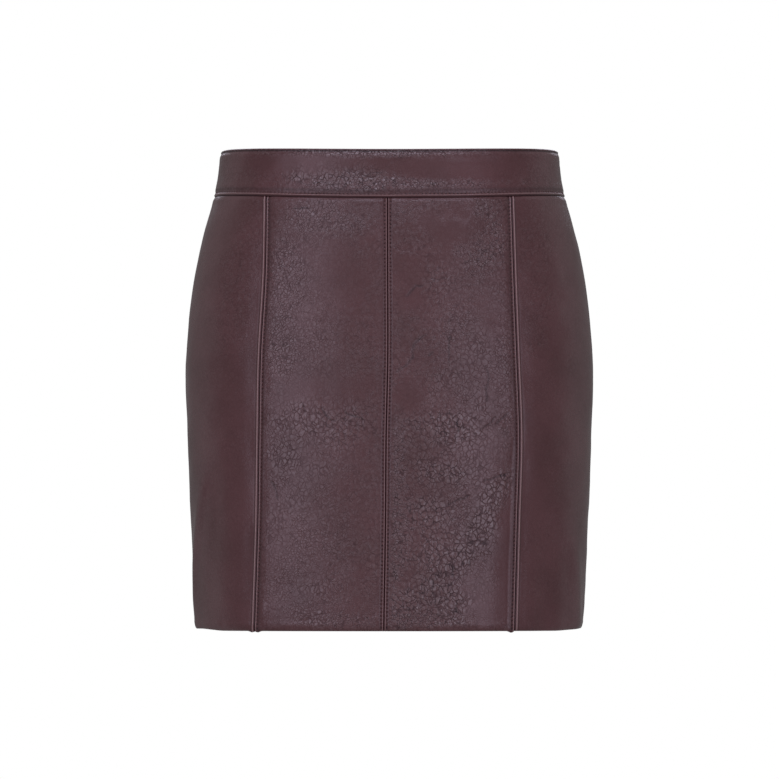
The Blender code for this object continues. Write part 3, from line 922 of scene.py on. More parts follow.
@dataclass(frozen=True)
class FleshSide:
    """The unfinished back of the leather: short brushed fibres, quite matt."""

    name: str = "brushed_flesh_side"
    pile: str = "#4a3334"
    shade: str = "#38262a"
    fibre: float = 0.0009

    def build(self) -> bpy.types.Material:
        """Makes the material on Object coordinates."""
        made, tree, shader = new_material(self.name)
        place = add(tree, "TexCoord").outputs["Object"]
        brushed = {"Vector": place, "Scale": 1 / self.fibre, "Detail": 4.0, "Roughness": 0.7}
        nap = add(tree, "TexNoise", brushed)
        drift = add(tree, "TexNoise", {"Vector": place, "Scale": 1 / 0.03, "Detail": 2.0})
        share = add(tree, "Math", {0: nap.outputs[0], 1: drift.outputs[0]}, operation="MULTIPLY")
        share = add(tree, "MapRange", {0: share.outputs[0], 1: 0.12, 2: 0.40, 3: 0.0, 4: 1.0})
        hue = blend_colours(tree, share.outputs[0], linear(self.shade), linear(self.pile))
        tree.links.new(hue, shader.inputs["Base Color"])
        bump = add(tree, "Bump", {"Height": nap.outputs[0], "Distance": 0.0003, "Strength": 0.8})
        tree.links.new(bump.outputs[0], shader.inputs["Normal"])
        shader.inputs["Roughness"].default_value = 0.92
        shader.inputs["Sheen Weight"].default_value = 0.25
        shader.inputs["Sheen Roughness"].default_value = 0.5
        return made


@dataclass(frozen=True)
class SpunThread:
    """Bonded polyester sewing thread: two plies, with a low sheen."""

    name: str = "bonded_thread"
    lit: str = "#86595a"
    shaded: str = "#5c3a3d"
    twist: float = 0.0006

    def build(self) -> bpy.types.Material:
        """Makes the material on Object coordinates."""
        made, tree, shader = new_material(self.name)
        place = add(tree, "TexCoord").outputs["Object"]
        ply = add(tree, "TexNoise", {"Vector": place, "Scale": 1 / self.twist, "Detail": 2.0})
        share = add(tree, "MapRange", {0: ply.outputs[0], 1: 0.35, 2: 0.65, 3: 0.0, 4: 1.0})
        hue = blend_colours(tree, share.outputs[0], linear(self.shaded), linear(self.lit))
        tree.links.new(hue, shader.inputs["Base Color"])
        bump = add(tree, "Bump", {"Height": ply.outputs[0], "Distance": 0.0001, "Strength": 0.6})
        tree.links.new(bump.outputs[0], shader.inputs["Normal"])
        shader.inputs["Roughness"].default_value = 0.5
        return made


@dataclass(frozen=True)
class WovenTape:
    """Woven polyester zip tape: fine ribs along it, crossed by its weft. The sunk weave is painted
    darker: painted shade in its hollows.
    """

    name: str = "woven_zip_tape"
    raised: str = "#3c2528"
    sunk: str = "#241417"
    rib: float = 0.0009

    def build(self) -> bpy.types.Material:
        """Makes the material on the flat tape's own metres."""
        made, tree, shader = new_material(self.name)
        flat = add(tree, "UVMap", uv_map="flat").outputs[0]
        ribs = add(tree, "TexWave", {"Vector": flat, "Scale": 0.16 / self.rib}, bands_direction="X")
        weft = add(tree, "TexWave", {"Vector": flat, "Scale": 0.32 / self.rib}, bands_direction="Y")
        weave = add(tree, "Math", {0: ribs.outputs[1], 1: weft.outputs[1]}, operation="MULTIPLY")
        # Painted shade: darker colour where the weave sinks.
        hue = blend_colours(tree, weave.outputs[0], linear(self.sunk), linear(self.raised))
        tree.links.new(hue, shader.inputs["Base Color"])
        bump = add(tree, "Bump", {"Height": weave.outputs[0], "Distance": 0.0002, "Strength": 0.8})
        tree.links.new(bump.outputs[0], shader.inputs["Normal"])
        shader.inputs["Roughness"].default_value = 0.85
        return made


@dataclass(frozen=True)
class Coated:
    """A plain coated surface: lacquered zinc for the slider and pull, or extruded nylon for the coils."""

    name: str
    colour: str
    worn: str
    roughness: float
    metallic: float = 0.0
    speckle: float = 0.002

    def build(self) -> bpy.types.Material:
        """Makes the material on Object coordinates."""
        made, tree, shader = new_material(self.name)
        place = add(tree, "TexCoord").outputs["Object"]
        haze = add(tree, "TexNoise", {"Vector": place, "Scale": 1 / self.speckle, "Detail": 3.0})
        share = add(tree, "MapRange", {0: haze.outputs[0], 1: 0.45, 2: 0.75, 3: 0.0, 4: 1.0})
        hue = blend_colours(tree, share.outputs[0], linear(self.colour), linear(self.worn))
        tree.links.new(hue, shader.inputs["Base Color"])
        low, high = self.roughness - 0.05, self.roughness + 0.08
        rough = add(tree, "MapRange", {0: haze.outputs[0], 1: 0.3, 2: 0.7, 3: low, 4: high})
        tree.links.new(rough.outputs[0], shader.inputs["Roughness"])
        shader.inputs["Metallic"].default_value = self.metallic
        return made


@dataclass
class Finishes:
    """Every material of the skirt, made once."""

    leather: bpy.types.Material
    flesh: bpy.types.Material
    thread: bpy.types.Material
    tape: bpy.types.Material
    nylon: bpy.types.Material
    metal: bpy.types.Material

    @classmethod
    def build(cls) -> Finishes:
        """Makes the materials."""
        return cls(
            leather=ShrunkenLeather().build(),
            flesh=FleshSide().build(),
            thread=SpunThread().build(),
            tape=WovenTape().build(),
            nylon=Coated("extruded_nylon", "#2b181b", "#3a2326", 0.35).build(),
            metal=Coated("lacquered_zinc", "#33191d", "#553034", 0.28, metallic=0.35).build(),
        )


# ------------------------------------------------------------------------------------ stitching
@dataclass(frozen=True)
class StitchRow:
    """A row of topstitching beside an edge, in millimetres: its place, its pitch and its thread.

    The thread is pulled down hard, so what shows most is the row of needle holes.
    """

    inset: float
    pitch: float = 3.2
    hole: float = 0.50
    thread: float = 0.20

    def dimples(self, distance: Array, along: Array) -> tuple[Array, Array]:
        """The needle holes' and the row's lift in millimetres, and their painted shade, 0 to 1."""
        aside = distance - self.inset
        phase = (along + 0.5 * self.pitch) % self.pitch - 0.5 * self.pitch
        hole = np.exp(-((aside / self.hole) ** 2) - (phase / (1.2 * self.hole)) ** 2)
        row = np.exp(-((aside / 0.75) ** 2))
        pull = np.exp(-((aside / 2.2) ** 2) - (phase / 1.0) ** 2)
        return -0.50 * hole - 0.12 * row - 0.08 * pull, np.clip(1.5 * hole + 0.18 * row, 0, 1)

    def threads(self, line: Array, normal: Array) -> Array:
        """Tube points of each stitch: an arch from hole to hole, thinner where it goes in.

        Args:
            line: Points along the row, n by 3.
            normal: Outward normals there.

        Returns:
            Points that tube_faces numbers as tubes of 5 rings of 6.
        """
        run = np.concatenate([[0.0], np.cumsum(np.linalg.norm(np.diff(line, axis=0), axis=1))]) / MM
        count = int(run[-1] / self.pitch)
        t = np.linspace(-1.0, 1.0, 5)
        middle = (np.arange(count) + 0.5)[:, None] * self.pitch
        at = middle + t * (0.5 * self.pitch - 0.25)
        path = np.stack([np.interp(at, run, line[:, k]) for k in range(3)], axis=-1)
        up = np.stack([np.interp(at, run, normal[:, k]) for k in range(3)], axis=-1)
        up /= np.linalg.norm(up, axis=-1, keepdims=True)
        path += up * ((0.5 * self.thread - 0.40 * t**4) * MM)[:, None]
        along = np.gradient(path, axis=1)
        side = np.cross(up, along)
        side /= np.linalg.norm(side, axis=-1, keepdims=True)
        radius = self.thread * MM * (1.0 - 0.45 * t**6)
        return tube_points(path, side, up, np.broadcast_to(radius, at.shape), 6)


def stitching(name: str, rows: list[Array], finishes: Finishes) -> Object:
    """One mesh of thread for the rows of stitches in a seam."""
    points = np.concatenate(rows)
    return new_mesh(name, points, tube_faces(len(points) // 30, 5, 6), [finishes.thread])


# ------------------------------------------------------------------------------------ the panels
@dataclass
class Panel:
    """A leather panel from the waist seam to its turned-up hem. Sizes are in millimetres."""

    name: str
    start: Edge
    end: Edge
    start_finish: SeamFinish
    end_finish: SeamFinish
    row_step: float = 0.95
    column_step: float = 0.95
    start_stitch: StitchRow | None = None
    end_stitch: StitchRow | None = None
    start_sag: float = 0.0
    end_sag: float = 0.0
    dart: float | None = None

    thin: int = 4
    seam_gap: float = 0.01
    zip_gap: float = 0.5
    leather: float = 1.4
    allowance: float = 10.0
    allowance_rise: float = 0.8
    hem_turn_up: float = 30.0
    fold_height: float = 3.2
    inner_fold_height: float = 2.2
    edge_reach: float = 4.8
    edge_step: float = 0.32
    hem_rise: float = 1.6
    dart_length: float = 105.0

    @property
    def hide(self) -> Hide:
        """The leather that this panel is cut from."""
        return HIDES[self.name]

    @property
    def length(self) -> float:
        """The panel's length from the waist seam to the hem, at the side."""
        return (FORM.length - FORM.band_height) / MM

    def edge_turns(self, edge: Edge, down: Array) -> Array:
        """The edge's turn at each row. Its waist drop depends on its turn, so it is found in steps."""
        turn = np.full_like(down, -90.0)
        for _ in range(3):
            waist = turn[:1] if isinstance(edge.value, str) else np.array([edge.value])
            turn = edge.turns(FORM.hung(down, FORM.waist_dip(waist)[0]))
        return turn

    def edge_gap(self, edge: Edge, down: Array) -> Array:
        """Half the gap at an edge, wider along the zip."""
        drop = FORM.band_height + down * MM
        zipped = np.clip((0.190 - drop) / 0.012, 0, 1) if edge is Edge.CENTRE_BACK else 0.0 * drop
        return self.seam_gap + (self.zip_gap - self.seam_gap) * zipped

    def rulers(self, down: Array) -> tuple[Array, Array, Array, Array]:
        """Dense turns along each row, their distances from its start, and the gaps at both ends."""
        start, end = self.edge_turns(self.start, down), self.edge_turns(self.end, down)
        dense = start[:, None] + (end - start)[:, None] * np.linspace(0, 1, 161)
        level = np.broadcast_to((FORM.band_height + down * MM)[:, None], dense.shape)
        steps = np.linalg.norm(np.diff(FORM.point(dense, level), axis=1), axis=2) / MM
        run = np.concatenate([np.zeros((len(down), 1)), np.cumsum(steps, axis=1)], axis=1)
        return dense, run, self.edge_gap(self.start, down), self.edge_gap(self.end, down)

    def width(self) -> float:
        """The panel's greatest width along its surface."""
        return float(self.rulers(np.linspace(0, self.length, 40))[1][:, -1].max())

    def grid(self, down: Array, columns: Array) -> Patch:
        """A grid of the panel.

        Columns keep their distance from an edge within its reach, and spread in proportion between.

        Args:
            down: Distances of the rows below the waist seam.
            columns: Distances of the columns from the start edge on the widest row.

        Returns:
            The grid.
        """
        dense, run, start_gap, end_gap = self.rulers(down)
        whole, widest, reach = (run[:, -1] - start_gap - end_gap)[:, None], columns[-1], self.edge_reach
        spread = reach + (columns - reach) * (whole - 2 * reach) / (widest - 2 * reach)
        across = np.where(columns <= reach, columns, spread)
        across = np.where(columns >= widest - reach, whole - widest + columns, across)
        rows = zip(across + start_gap[:, None], run, dense)
        turn = np.stack([np.interp(at, ruler, turns) for at, ruler, turns in rows])
        drop = FORM.hung(down[:, None], FORM.waist_dip(turn[0])[None, :])
        low = ease((down[:, None] - self.length + 45.0) / 45.0)
        aside = np.abs(FORM.point(turn, drop)[..., 0]) / smooth_read(FORM.rings, "half_width", drop)
        drop = drop - self.hem_rise * MM * low * ease((aside - 0.85) / 0.15)
        for sag, distance in ((self.start_sag, across), (self.end_sag, whole - across)):
            drop = drop + sag * MM * low * np.exp(-(((distance - 2.6) / 2.4) ** 2))
        return Patch(turn, drop, across, whole - across, np.broadcast_to(down[:, None], turn.shape))

    def outer_rows(self) -> tuple[Array, Array]:
        """The outer rows' distances below the waist, and how far round the hem's fold each is, 0 to 180."""
        step, last = self.row_step, self.length - self.fold_height
        first = np.array([0.04, 0.25, 0.5, 0.75, 1.0]) * 2 * step
        down = np.concatenate([first, np.arange(3, int(last / step)) * step])
        fold = np.linspace(0, 180, 13 + -(len(down) + 12) % self.thin)
        height = np.where(fold <= 90, self.fold_height, self.inner_fold_height)
        turned_down = self.length - height * (1 - np.sin(np.radians(fold)))
        return np.concatenate([down, turned_down]), np.concatenate([0 * down, fold])

    def outer_relief(self, patch: Patch, fold: Array) -> Relief:
        """The outer face's relief, with its seams, stitches, dart and hem."""
        calm = ease((patch.across - 1.0) / 6.0) * ease((patch.back - 1.0) / 6.0) * 0.85 + 0.15
        calm = calm * ease(1.3 - fold / 90.0)[:, None] * (0.25 + 0.75 * ease((patch.down - 0.5) / 3.0))
        grain = self.hide.relief(patch.across, patch.down).faded(calm)
        lift, depth = grain.lift, grain.depth
        lift += FORM.fold_lift(patch.turn, patch.drop) / MM
        lift += self.start_finish.lift(patch.across) + self.end_finish.lift(patch.back)
        lift += eased_profile(((0.0, -1.0), (1.2, -0.28), (3.4, 0.14), (8.0, 0.0)), patch.down)
        # Painted shade in the ditch under the waist seam.
        depth += 0.9 * np.exp(-((patch.down / 0.6) ** 2))
        # Painted shade in each seam's ditch and foot, and a pale crest: partly burnishing, partly painted
        # highlight.
        depth += self.start_finish.painted_shade_and_crest(patch.across) + self.end_finish.painted_shade_and_crest(patch.back)
        # The needle holes sink, and painted shade darkens them and the row.
        for row, distance in ((self.start_stitch, patch.across), (self.end_stitch, patch.back)):
            if row is not None:
                dimple, hole = row.dimples(distance, patch.down)
                lift, depth = lift + dimple, depth + hole
        ridge = 0.24 + 0.20 * soft_noise(patch.across, patch.down, 23.0, self.hide.seed + 11)
        ridge += 0.22 * soft_noise(patch.across, patch.down / 3.0, 6.0, self.hide.seed + 12)
        lift += ridge * np.exp(-(((self.length - 5.4 - patch.down) / 2.4) ** 2))
        if self.dart is not None:
            aside = patch.across - self.dart * (patch.across + patch.back)
            fade = ease(1.0 - patch.down / self.dart_length)
            pucker = 1.0 + 0.5 * soft_noise(patch.across, patch.down, 6.0, self.hide.seed + 9)
            lift += fade * pucker * (0.22 * np.exp(-(((np.abs(aside) - 1.9) / 1.3) ** 2)))
            lift -= fade * 0.75 * np.exp(-((aside / 0.7) ** 2))
        lift -= self.leather * (1 - np.cos(np.radians(fold)))[:, None]
        return Relief(lift, depth, grain.vigour, grain.coarseness)

    def inner_shell(self, down: Array, columns: Array) -> tuple[Patch, Array]:
        """The inner face's grid, and its lift: thicker at the hem's turn-up and the seam allowances."""
        last = self.length - self.inner_fold_height
        down = np.minimum(down[:: self.thin], last - 0.3 * np.arange(len(down) // self.thin, -1, -1))
        down = snapped(down, self.length - self.hem_turn_up, 0.5)
        columns = snapped(columns[:: self.thin], self.allowance, 0.5)
        columns = snapped(columns, columns[-1] - self.allowance, 0.5)
        patch = self.grid(down, columns)
        depth = self.leather + self.leather * (patch.down > self.length - self.hem_turn_up)
        for edge, distance in ((self.start, patch.across), (self.end, patch.back)):
            rise = 0.4 if edge is Edge.CENTRE_BACK else self.allowance_rise
            depth = depth + rise * (distance < self.allowance) * ease(1.0 - (distance - 6.0) / 12.0)
        bend = FORM.fold_lift(patch.turn, patch.drop) / MM + self.hide.sway(patch.across, patch.down)
        return patch, bend - depth

    def build(self, finishes: Finishes) -> list[Object]:
        """Makes the panel and the thread beside its edges."""
        down, fold = self.outer_rows()
        columns = graded(self.width(), self.edge_step, self.column_step, self.edge_reach, self.thin)
        patch = self.grid(down, columns)
        relief = self.outer_relief(patch, fold)
        inner, inner_lift = self.inner_shell(down, columns)
        points = [patch.placed(relief.lift).reshape(-1, 3), inner.placed(inner_lift).reshape(-1, 3)]
        outer_index = np.arange(relief.lift.size).reshape(relief.lift.shape)
        inner_index = relief.lift.size + np.arange(inner_lift.size).reshape(inner_lift.shape)
        grain_side = inner.down[:-1, :-1] > self.length - self.hem_turn_up
        grain_side |= inner.across[:-1, 1:] < self.allowance + 0.5
        grain_side |= inner.back[:-1, :-1] < self.allowance + 0.5
        obj = new_mesh(
            f"leather_{self.name}",
            np.concatenate(points),
            shell_faces(outer_index, inner_index, np.where(grain_side, 0, 1).ravel()),
            [finishes.leather, finishes.flesh],
            np.concatenate([patch.flat(), inner.flat()]),
            relief,
        )
        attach(obj, SKIRT_BODY)
        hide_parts(self.name)
        made = [obj]
        rows = []
        for row, finish, from_end in (
            (self.start_stitch, self.start_finish, False),
            (self.end_stitch, self.end_finish, True),
        ):
            if row is not None:
                flat = down[fold == 0]
                turn, drop = (line[: len(flat)] for line in patch.row_line(row.inset, from_end))
                rise = finish.lift(np.array(row.inset)) - 0.10 + FORM.fold_lift(turn, drop) / MM
                normal = FORM.normal(turn, drop)
                rows.append(row.threads(FORM.point(turn, drop) + normal * (rise * MM)[:, None], normal))
        if rows:
            thread = stitching(f"topstitching_{self.name}", rows, finishes)
            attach(thread, SKIRT_BODY)
            made.append(thread)
        self.declare(patch)
        LOG.info("%s: %d by %d outer points, %.0f mm wide", obj.name, *relief.lift.shape, self.width())
        return made

    def declare(self, patch: Patch) -> None:
        """Works out the panel's flat cut, what shows without its allowances and the hem's turn-up, and
        keeps none of it.
        """
        whole = patch.across + patch.back
        area = round(float(whole[:, 0].mean() * self.length * MM * MM), 4)
        flat = (round(float(whole.max()) * MM, 3), round(self.length * MM, 3))


# ------------------------------------------------------------------------------------ the waistband
@dataclass
class Waistband:
    """One length of the folded, self-faced waistband. Sizes are in millimetres.

    Its profile is (down, lift) knots from its top edge. Its lines are the (down, width, share) of the
    lines of painted shade along it and, below 0, of pale lines: partly burnishing, partly painted
    highlight.
    """

    name: str
    start_turn: float
    end_turn: float
    column_step: float = 0.8
    thin: int = 4
    thickness: float = 3.0
    fold_height: float = 1.4
    stitch: StitchRow = StitchRow(inset=2.8)
    profile: tuple[tuple[float, float], ...] = (
        (0.9, 0.10),
        (2.1, -0.34),
        (5.4, 0.42),
        (6.8, 0.44),
        (12.0, 0.24),
        (24.0, 0.02),
        (33.6, 0.26),
        (37.0, -0.30),
        (38.3, 0.34),
        (39.96, -0.95),
    )
    lines: tuple[tuple[float, float, float], ...] = (
        (2.1, 0.55, 1.0),
        (34.4, 1.4, 0.36),
        (38.3, 0.42, -0.6),
        (39.96, 0.5, 0.9),
    )

    @property
    def hide(self) -> Hide:
        """The leather that this length is cut from."""
        return HIDES[self.name]

    @property
    def height(self) -> float:
        """The band's height at the side seams."""
        return FORM.band_height / MM

    def end_gap(self, turn: float) -> float:
        """Half the gap at an end, wider at the zip."""
        return 0.5 if turn == FORM.centre_back_turn else 0.01

    def grid(self, down: Array, columns: Array, whole: float) -> Patch:
        """A grid of the band.

        Args:
            down: Distances of the rows below its top edge.
            columns: Distances of the columns from its start.
            whole: Its length.

        Returns:
            The grid.
        """
        dense = np.linspace(self.start_turn, self.end_turn, 721)
        points = FORM.point(dense, np.full_like(dense, FORM.band_height / 2))
        run = np.concatenate([[0.0], np.cumsum(np.linalg.norm(np.diff(points, axis=0), axis=1))]) / MM
        turn = np.interp(columns + self.end_gap(self.start_turn), run, dense)
        turn = np.broadcast_to(turn, (len(down), len(columns)))
        level = down[:, None] * MM
        drop = level + FORM.waist_dip(turn) + FORM.narrowing(turn, level)
        across = np.broadcast_to(columns, turn.shape)
        return Patch(turn, drop, across, whole - across, np.broadcast_to(down[:, None], turn.shape))

    def length(self) -> float:
        """The band's length at half its height."""
        dense = np.linspace(self.start_turn, self.end_turn, 721)
        points = FORM.point(dense, np.full_like(dense, FORM.band_height / 2))
        run = float(np.linalg.norm(np.diff(points, axis=0), axis=1).sum()) / MM
        return run - self.end_gap(self.start_turn) - self.end_gap(self.end_turn)

    def outer_rows(self) -> tuple[Array, Array]:
        """The outer rows' distances below the top edge, and how far round its fold each is, 180 to 0."""
        low = np.array([36.9, 37.3, 37.7, 38.05, 38.4, 38.75, 39.1, 39.45, 39.75, 39.96])
        down = np.concatenate([np.arange(1.7, 5.2, 0.35), np.arange(5.5, 36.6, 0.7), low])
        fold = np.linspace(180, 0, 13 + -(len(down) + 12) % self.thin)
        folded = self.fold_height * (1 - np.sin(np.radians(fold)))
        return np.concatenate([folded, down]), np.concatenate([fold, 0 * down])

    def build(self, finishes: Finishes) -> list[Object]:
        """Makes this length of the waistband, and the row of stitches along its lower edge."""
        down, fold = self.outer_rows()
        whole = self.length()
        columns = graded(whole, 0.4, self.column_step, 4.0, self.thin)
        patch = self.grid(down, columns, whole)
        calm = ease(patch.across / 2.0) * ease(patch.back / 2.0) * 0.7 + 0.3
        calm = calm * (1.0 - ease(fold / 60.0))[:, None] * ease((self.height - patch.down) / 3.0)
        grain = self.hide.relief(patch.across, patch.down).faded(calm)
        lift, depth = grain.lift, grain.depth
        lift += eased_profile(self.profile, patch.down) * (1.0 - ease(fold / 90.0))[:, None]
        lift -= 0.5 * self.thickness * (1.0 - np.cos(np.radians(fold)))[:, None]
        finish = [
            SeamFinish.ZIPPED if turn == FORM.centre_back_turn else SeamFinish.PRESSED
            for turn in (self.start_turn, self.end_turn)
        ]
        on_front = (fold <= 90)[:, None]
        lift += on_front * (finish[0].lift(patch.across) + finish[1].lift(patch.back))
        # The needle holes sink, and painted shade darkens them.
        dimple, hole = self.stitch.dimples(self.height - patch.down, patch.across)
        # Painted shade along the band's lines, and below 0 a pale line: partly burnishing, partly painted
        # highlight.
        for at, width, share in self.lines:
            depth += share * np.exp(-(((patch.down - at) / width) ** 2))
        lift, depth = lift + dimple, depth + hole
        last = self.height - 0.04
        below_fold = self.fold_height + 0.25 * np.arange(1, len(down) // self.thin + 2)
        inner_down = np.minimum(np.maximum(down[:: self.thin], below_fold), last)
        inner = self.grid(inner_down, columns[:: self.thin], whole)
        facing = ((0.0, 0.0), (34.0, 0.0), (36.5, 0.35), (40.0, 0.25))
        inner_lift = eased_profile(facing, inner.down) - self.thickness
        outer_index = np.arange(lift.size).reshape(lift.shape)
        inner_index = lift.size + np.arange(inner_lift.size).reshape(inner_lift.shape)
        obj = new_mesh(
            f"leather_{self.name}",
            np.concatenate([patch.placed(lift).reshape(-1, 3), inner.placed(inner_lift).reshape(-1, 3)]),
            shell_faces(outer_index, inner_index, 0),
            [finishes.leather],
            np.concatenate([patch.flat(), inner.flat()]),
            Relief(lift, depth, grain.vigour, grain.coarseness),
        )
        turn = patch.turn[0]
        level = (self.height - self.stitch.inset) * MM
        drop = level + FORM.waist_dip(turn) + FORM.narrowing(turn, level)
        rise = eased_profile(self.profile, np.array(level / MM)) - 0.10
        normal = FORM.normal(turn, drop)
        thread = stitching(
            f"topstitching_{self.name}",
            [self.stitch.threads(FORM.point(turn, drop) + normal * rise * MM, normal)],
            finishes,
        )
        for piece in (obj, thread):
            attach(piece, SKIRT_BODY)
        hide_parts(self.name)
        LOG.info("%s: %d by %d outer points, %.0f mm long", obj.name, *lift.shape, whole)
        return [obj, thread]


# ------------------------------------------------------------------------------------ the zip
@dataclass
class Zip:
    """The concealed centre-back zip: two tapes, two nylon coils, a slider and its pull. In metres.

    The zip is closed below the slider. There each tape's edge moves in by tape_shift and each coil by
    teeth_shift, from closing_start below the slider's middle and over closing_length.
    """

    top: float = 0.006
    length: float = 0.190
    gap: float = 0.0010
    tape_width: float = 0.0112
    tape_thickness: float = 0.0007
    tape_gap: float = 0.0005
    band_thickness: float = 0.0030
    leather: float = 0.0014
    coil_radius: float = 0.00055
    coil_pitch: float = 0.0013
    coil_wire: float = 0.00026
    slider_drop: float = 0.0105
    pivot_lift: float = 0.0014
    ear_radius: float = 0.0014
    hole_radius: float = 0.0008
    ear_thickness: float = 0.0005
    slider_size: tuple[float, float, float] = (0.0056, 0.0026, 0.0085)
    pull_thickness: float = 0.0009
    pull_length: float = 0.0200
    pull_eye: float = 0.0017
    pull_corner: float = 0.0008
    pull_belly: float = 0.0028
    pull_bar: float = 0.0009
    window_half_width: float = 0.00075
    window_length: float = 0.0022
    coil_inset: float = 0.003
    coil_clearance: float = 0.0005
    tape_shift: float = 0.0009
    teeth_shift: float = 0.0009
    closing_start: float = 0.005
    closing_length: float = 0.004
    step_drop: float = 0.042
    step_length: float = 0.014

    def closed(self, drop: Array) -> Array:
        """How far the zip is closed at each drop: open at the slider, and fully closed below it."""
        return ease((drop - self.slider_drop - self.closing_start) / self.closing_length)

    def tape_lift(self, drop: Array) -> Array:
        """The outer face of the tape: behind the waistband, then closer in behind the back panels."""
        behind_band, behind_panel = -self.band_thickness - self.tape_gap, -self.leather - self.tape_gap
        return behind_band + (behind_panel - behind_band) * ease((drop - self.step_drop) / self.step_length)

    def tape(self, side: int, name: str, finishes: Finishes) -> Object:
        """One tape, a thin closed strip inside the back. Side is 1 for the left and -1 for the right."""
        drop = np.linspace(self.top, self.length, 93)[:, None]
        reach = self.gap - self.tape_shift * self.closed(drop) + np.linspace(0, 1, 9) * self.tape_width
        turn = FORM.centre_back_turn - side * np.degrees(reach / FORM.point(np.array(90.0), drop)[..., 1])
        turn = turn if side < 0 else turn[:, ::-1]
        drop = np.broadcast_to(drop, turn.shape)
        reach = reach if side < 0 else reach[:, ::-1]
        flat = np.stack([reach, drop], axis=-1).reshape(-1, 2)
        lift = self.tape_lift(drop)[..., None]
        base, normal = FORM.point(turn, drop), FORM.normal(turn, drop)
        points = [base + normal * lift, base + normal * (lift - self.tape_thickness)]
        index = np.arange(2 * turn.size).reshape(2, *turn.shape)
        obj = new_mesh(
            f"woven_{name}",
            np.concatenate(points).reshape(-1, 3),
            shell_faces(index[0], index[1], 0),
            [finishes.tape],
            np.concatenate([flat, flat]),
        )
        coil = self.coil(side, f"coil_{name}", finishes)
        for piece in (obj, coil):
            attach(piece, SKIRT_BODY)
        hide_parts(name)
        self.length - self.top
        return obj

    def coil(self, side: int, name: str, finishes: Finishes) -> Object:
        """A nylon coil along the tape's edge: a helix of wire whose turns lie between the other coil's."""
        steps = 10
        count = int((self.length - self.top - 2 * self.coil_inset) / self.coil_pitch) * steps
        s = np.arange(count + 1) / steps
        drop = self.top + self.coil_inset + (s + 0.5 * (side < 0)) * self.coil_pitch
        angle = 2 * np.pi * s
        tip = self.coil_clearance - self.teeth_shift * self.closed(drop)
        across = side * (tip + 1.5 * self.coil_radius * (1 - np.cos(angle)))
        inward = self.tape_lift(drop) - self.tape_thickness - self.coil_radius * (1 + np.sin(angle))
        turn = np.full_like(drop, FORM.centre_back_turn)
        normal = FORM.normal(turn, drop)
        path = FORM.point(turn, drop) + normal * inward[:, None]
        path[:, 0] += across
        along = np.gradient(path, axis=0)
        along /= np.linalg.norm(along, axis=1, keepdims=True)
        up = np.cross(along, np.array([0.0, 0.0, 1.0]))
        up /= np.linalg.norm(up, axis=1, keepdims=True)
        side_way = np.cross(up, along)
        points = tube_points(path[None], side_way[None], up[None], self.coil_wire, 5)
        return new_mesh(name, points, tube_faces(1, len(path), 5), [finishes.nylon])

    def pivot(self) -> tuple[Array, Array, Array]:
        """The pull's pivot, the way straight out of the waistband there, and the way down it."""
        turn, drop = np.array([FORM.centre_back_turn]), np.array([self.slider_drop])
        out = FORM.normal(turn, drop)[0]
        return FORM.point(turn, drop)[0] + out * self.pivot_lift, out, np.array([0.0, out[2], -out[1]])

    def pull_outline(self) -> Array:
        """The teardrop's outline, x across and y up from the bar's middle: a bar, flanks and a belly."""
        corner_x, corner_y = self.pull_eye - self.pull_corner, self.pull_bar / 2 - self.pull_corner
        arcs = (
            (corner_x, corner_y, self.pull_corner, 0, 90, 8),
            (-corner_x, corner_y, self.pull_corner, 90, 180, 8),
            (0.0, self.pull_belly + self.pull_bar / 2 - self.pull_length, self.pull_belly, 180, 360, 33),
        )
        runs = []
        for x, y, radius, start, end, count in arcs:
            angle = np.radians(np.linspace(start, end, count))
            runs.append(np.stack([x + radius * np.cos(angle), y + radius * np.sin(angle)], axis=1))
        return np.concatenate(runs)

    def pull(self, finishes: Finishes) -> Object:
        """The pull tab: the outline and the window, each found along rays from the window's middle."""
        half = np.array([self.window_half_width, self.window_length / 2])
        middle = np.array([0.0, -self.pull_bar / 2 - half[1]])
        outline = self.pull_outline() - middle
        outline = np.concatenate([outline, outline[:1]])
        share = np.linspace(0, 1, 12)[:-1, None, None]
        outline = (outline[:-1] + (outline[1:] - outline[:-1]) * share).transpose(1, 0, 2).reshape(-1, 2)
        angle = 2 * np.pi * np.arange(96) / 96
        bearing = np.arctan2(outline[:, 1], outline[:, 0])
        order = np.argsort(bearing)
        outer = np.interp(angle, bearing[order], np.hypot(*outline[order].T), period=2 * np.pi)
        wall = half[:, None] / np.maximum(np.abs(np.stack([np.cos(angle), np.sin(angle)])), 1e-6)
        inner = (wall**-8.0).sum(axis=0) ** (-1 / 8)
        local, faces = ring_plate(angle, outer, inner, self.pull_thickness, 0.00022)
        place, out, below = self.pivot()
        axes = np.stack([[-1.0, 0.0, 0.0], -below, out])
        points = place + (local + np.array([*middle, 0.0])) @ axes
        obj = new_mesh("moulded_zip_pull", points, [faces], [finishes.metal])
        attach(obj, PULL_BODY)
        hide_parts("zip_pull")
        return obj

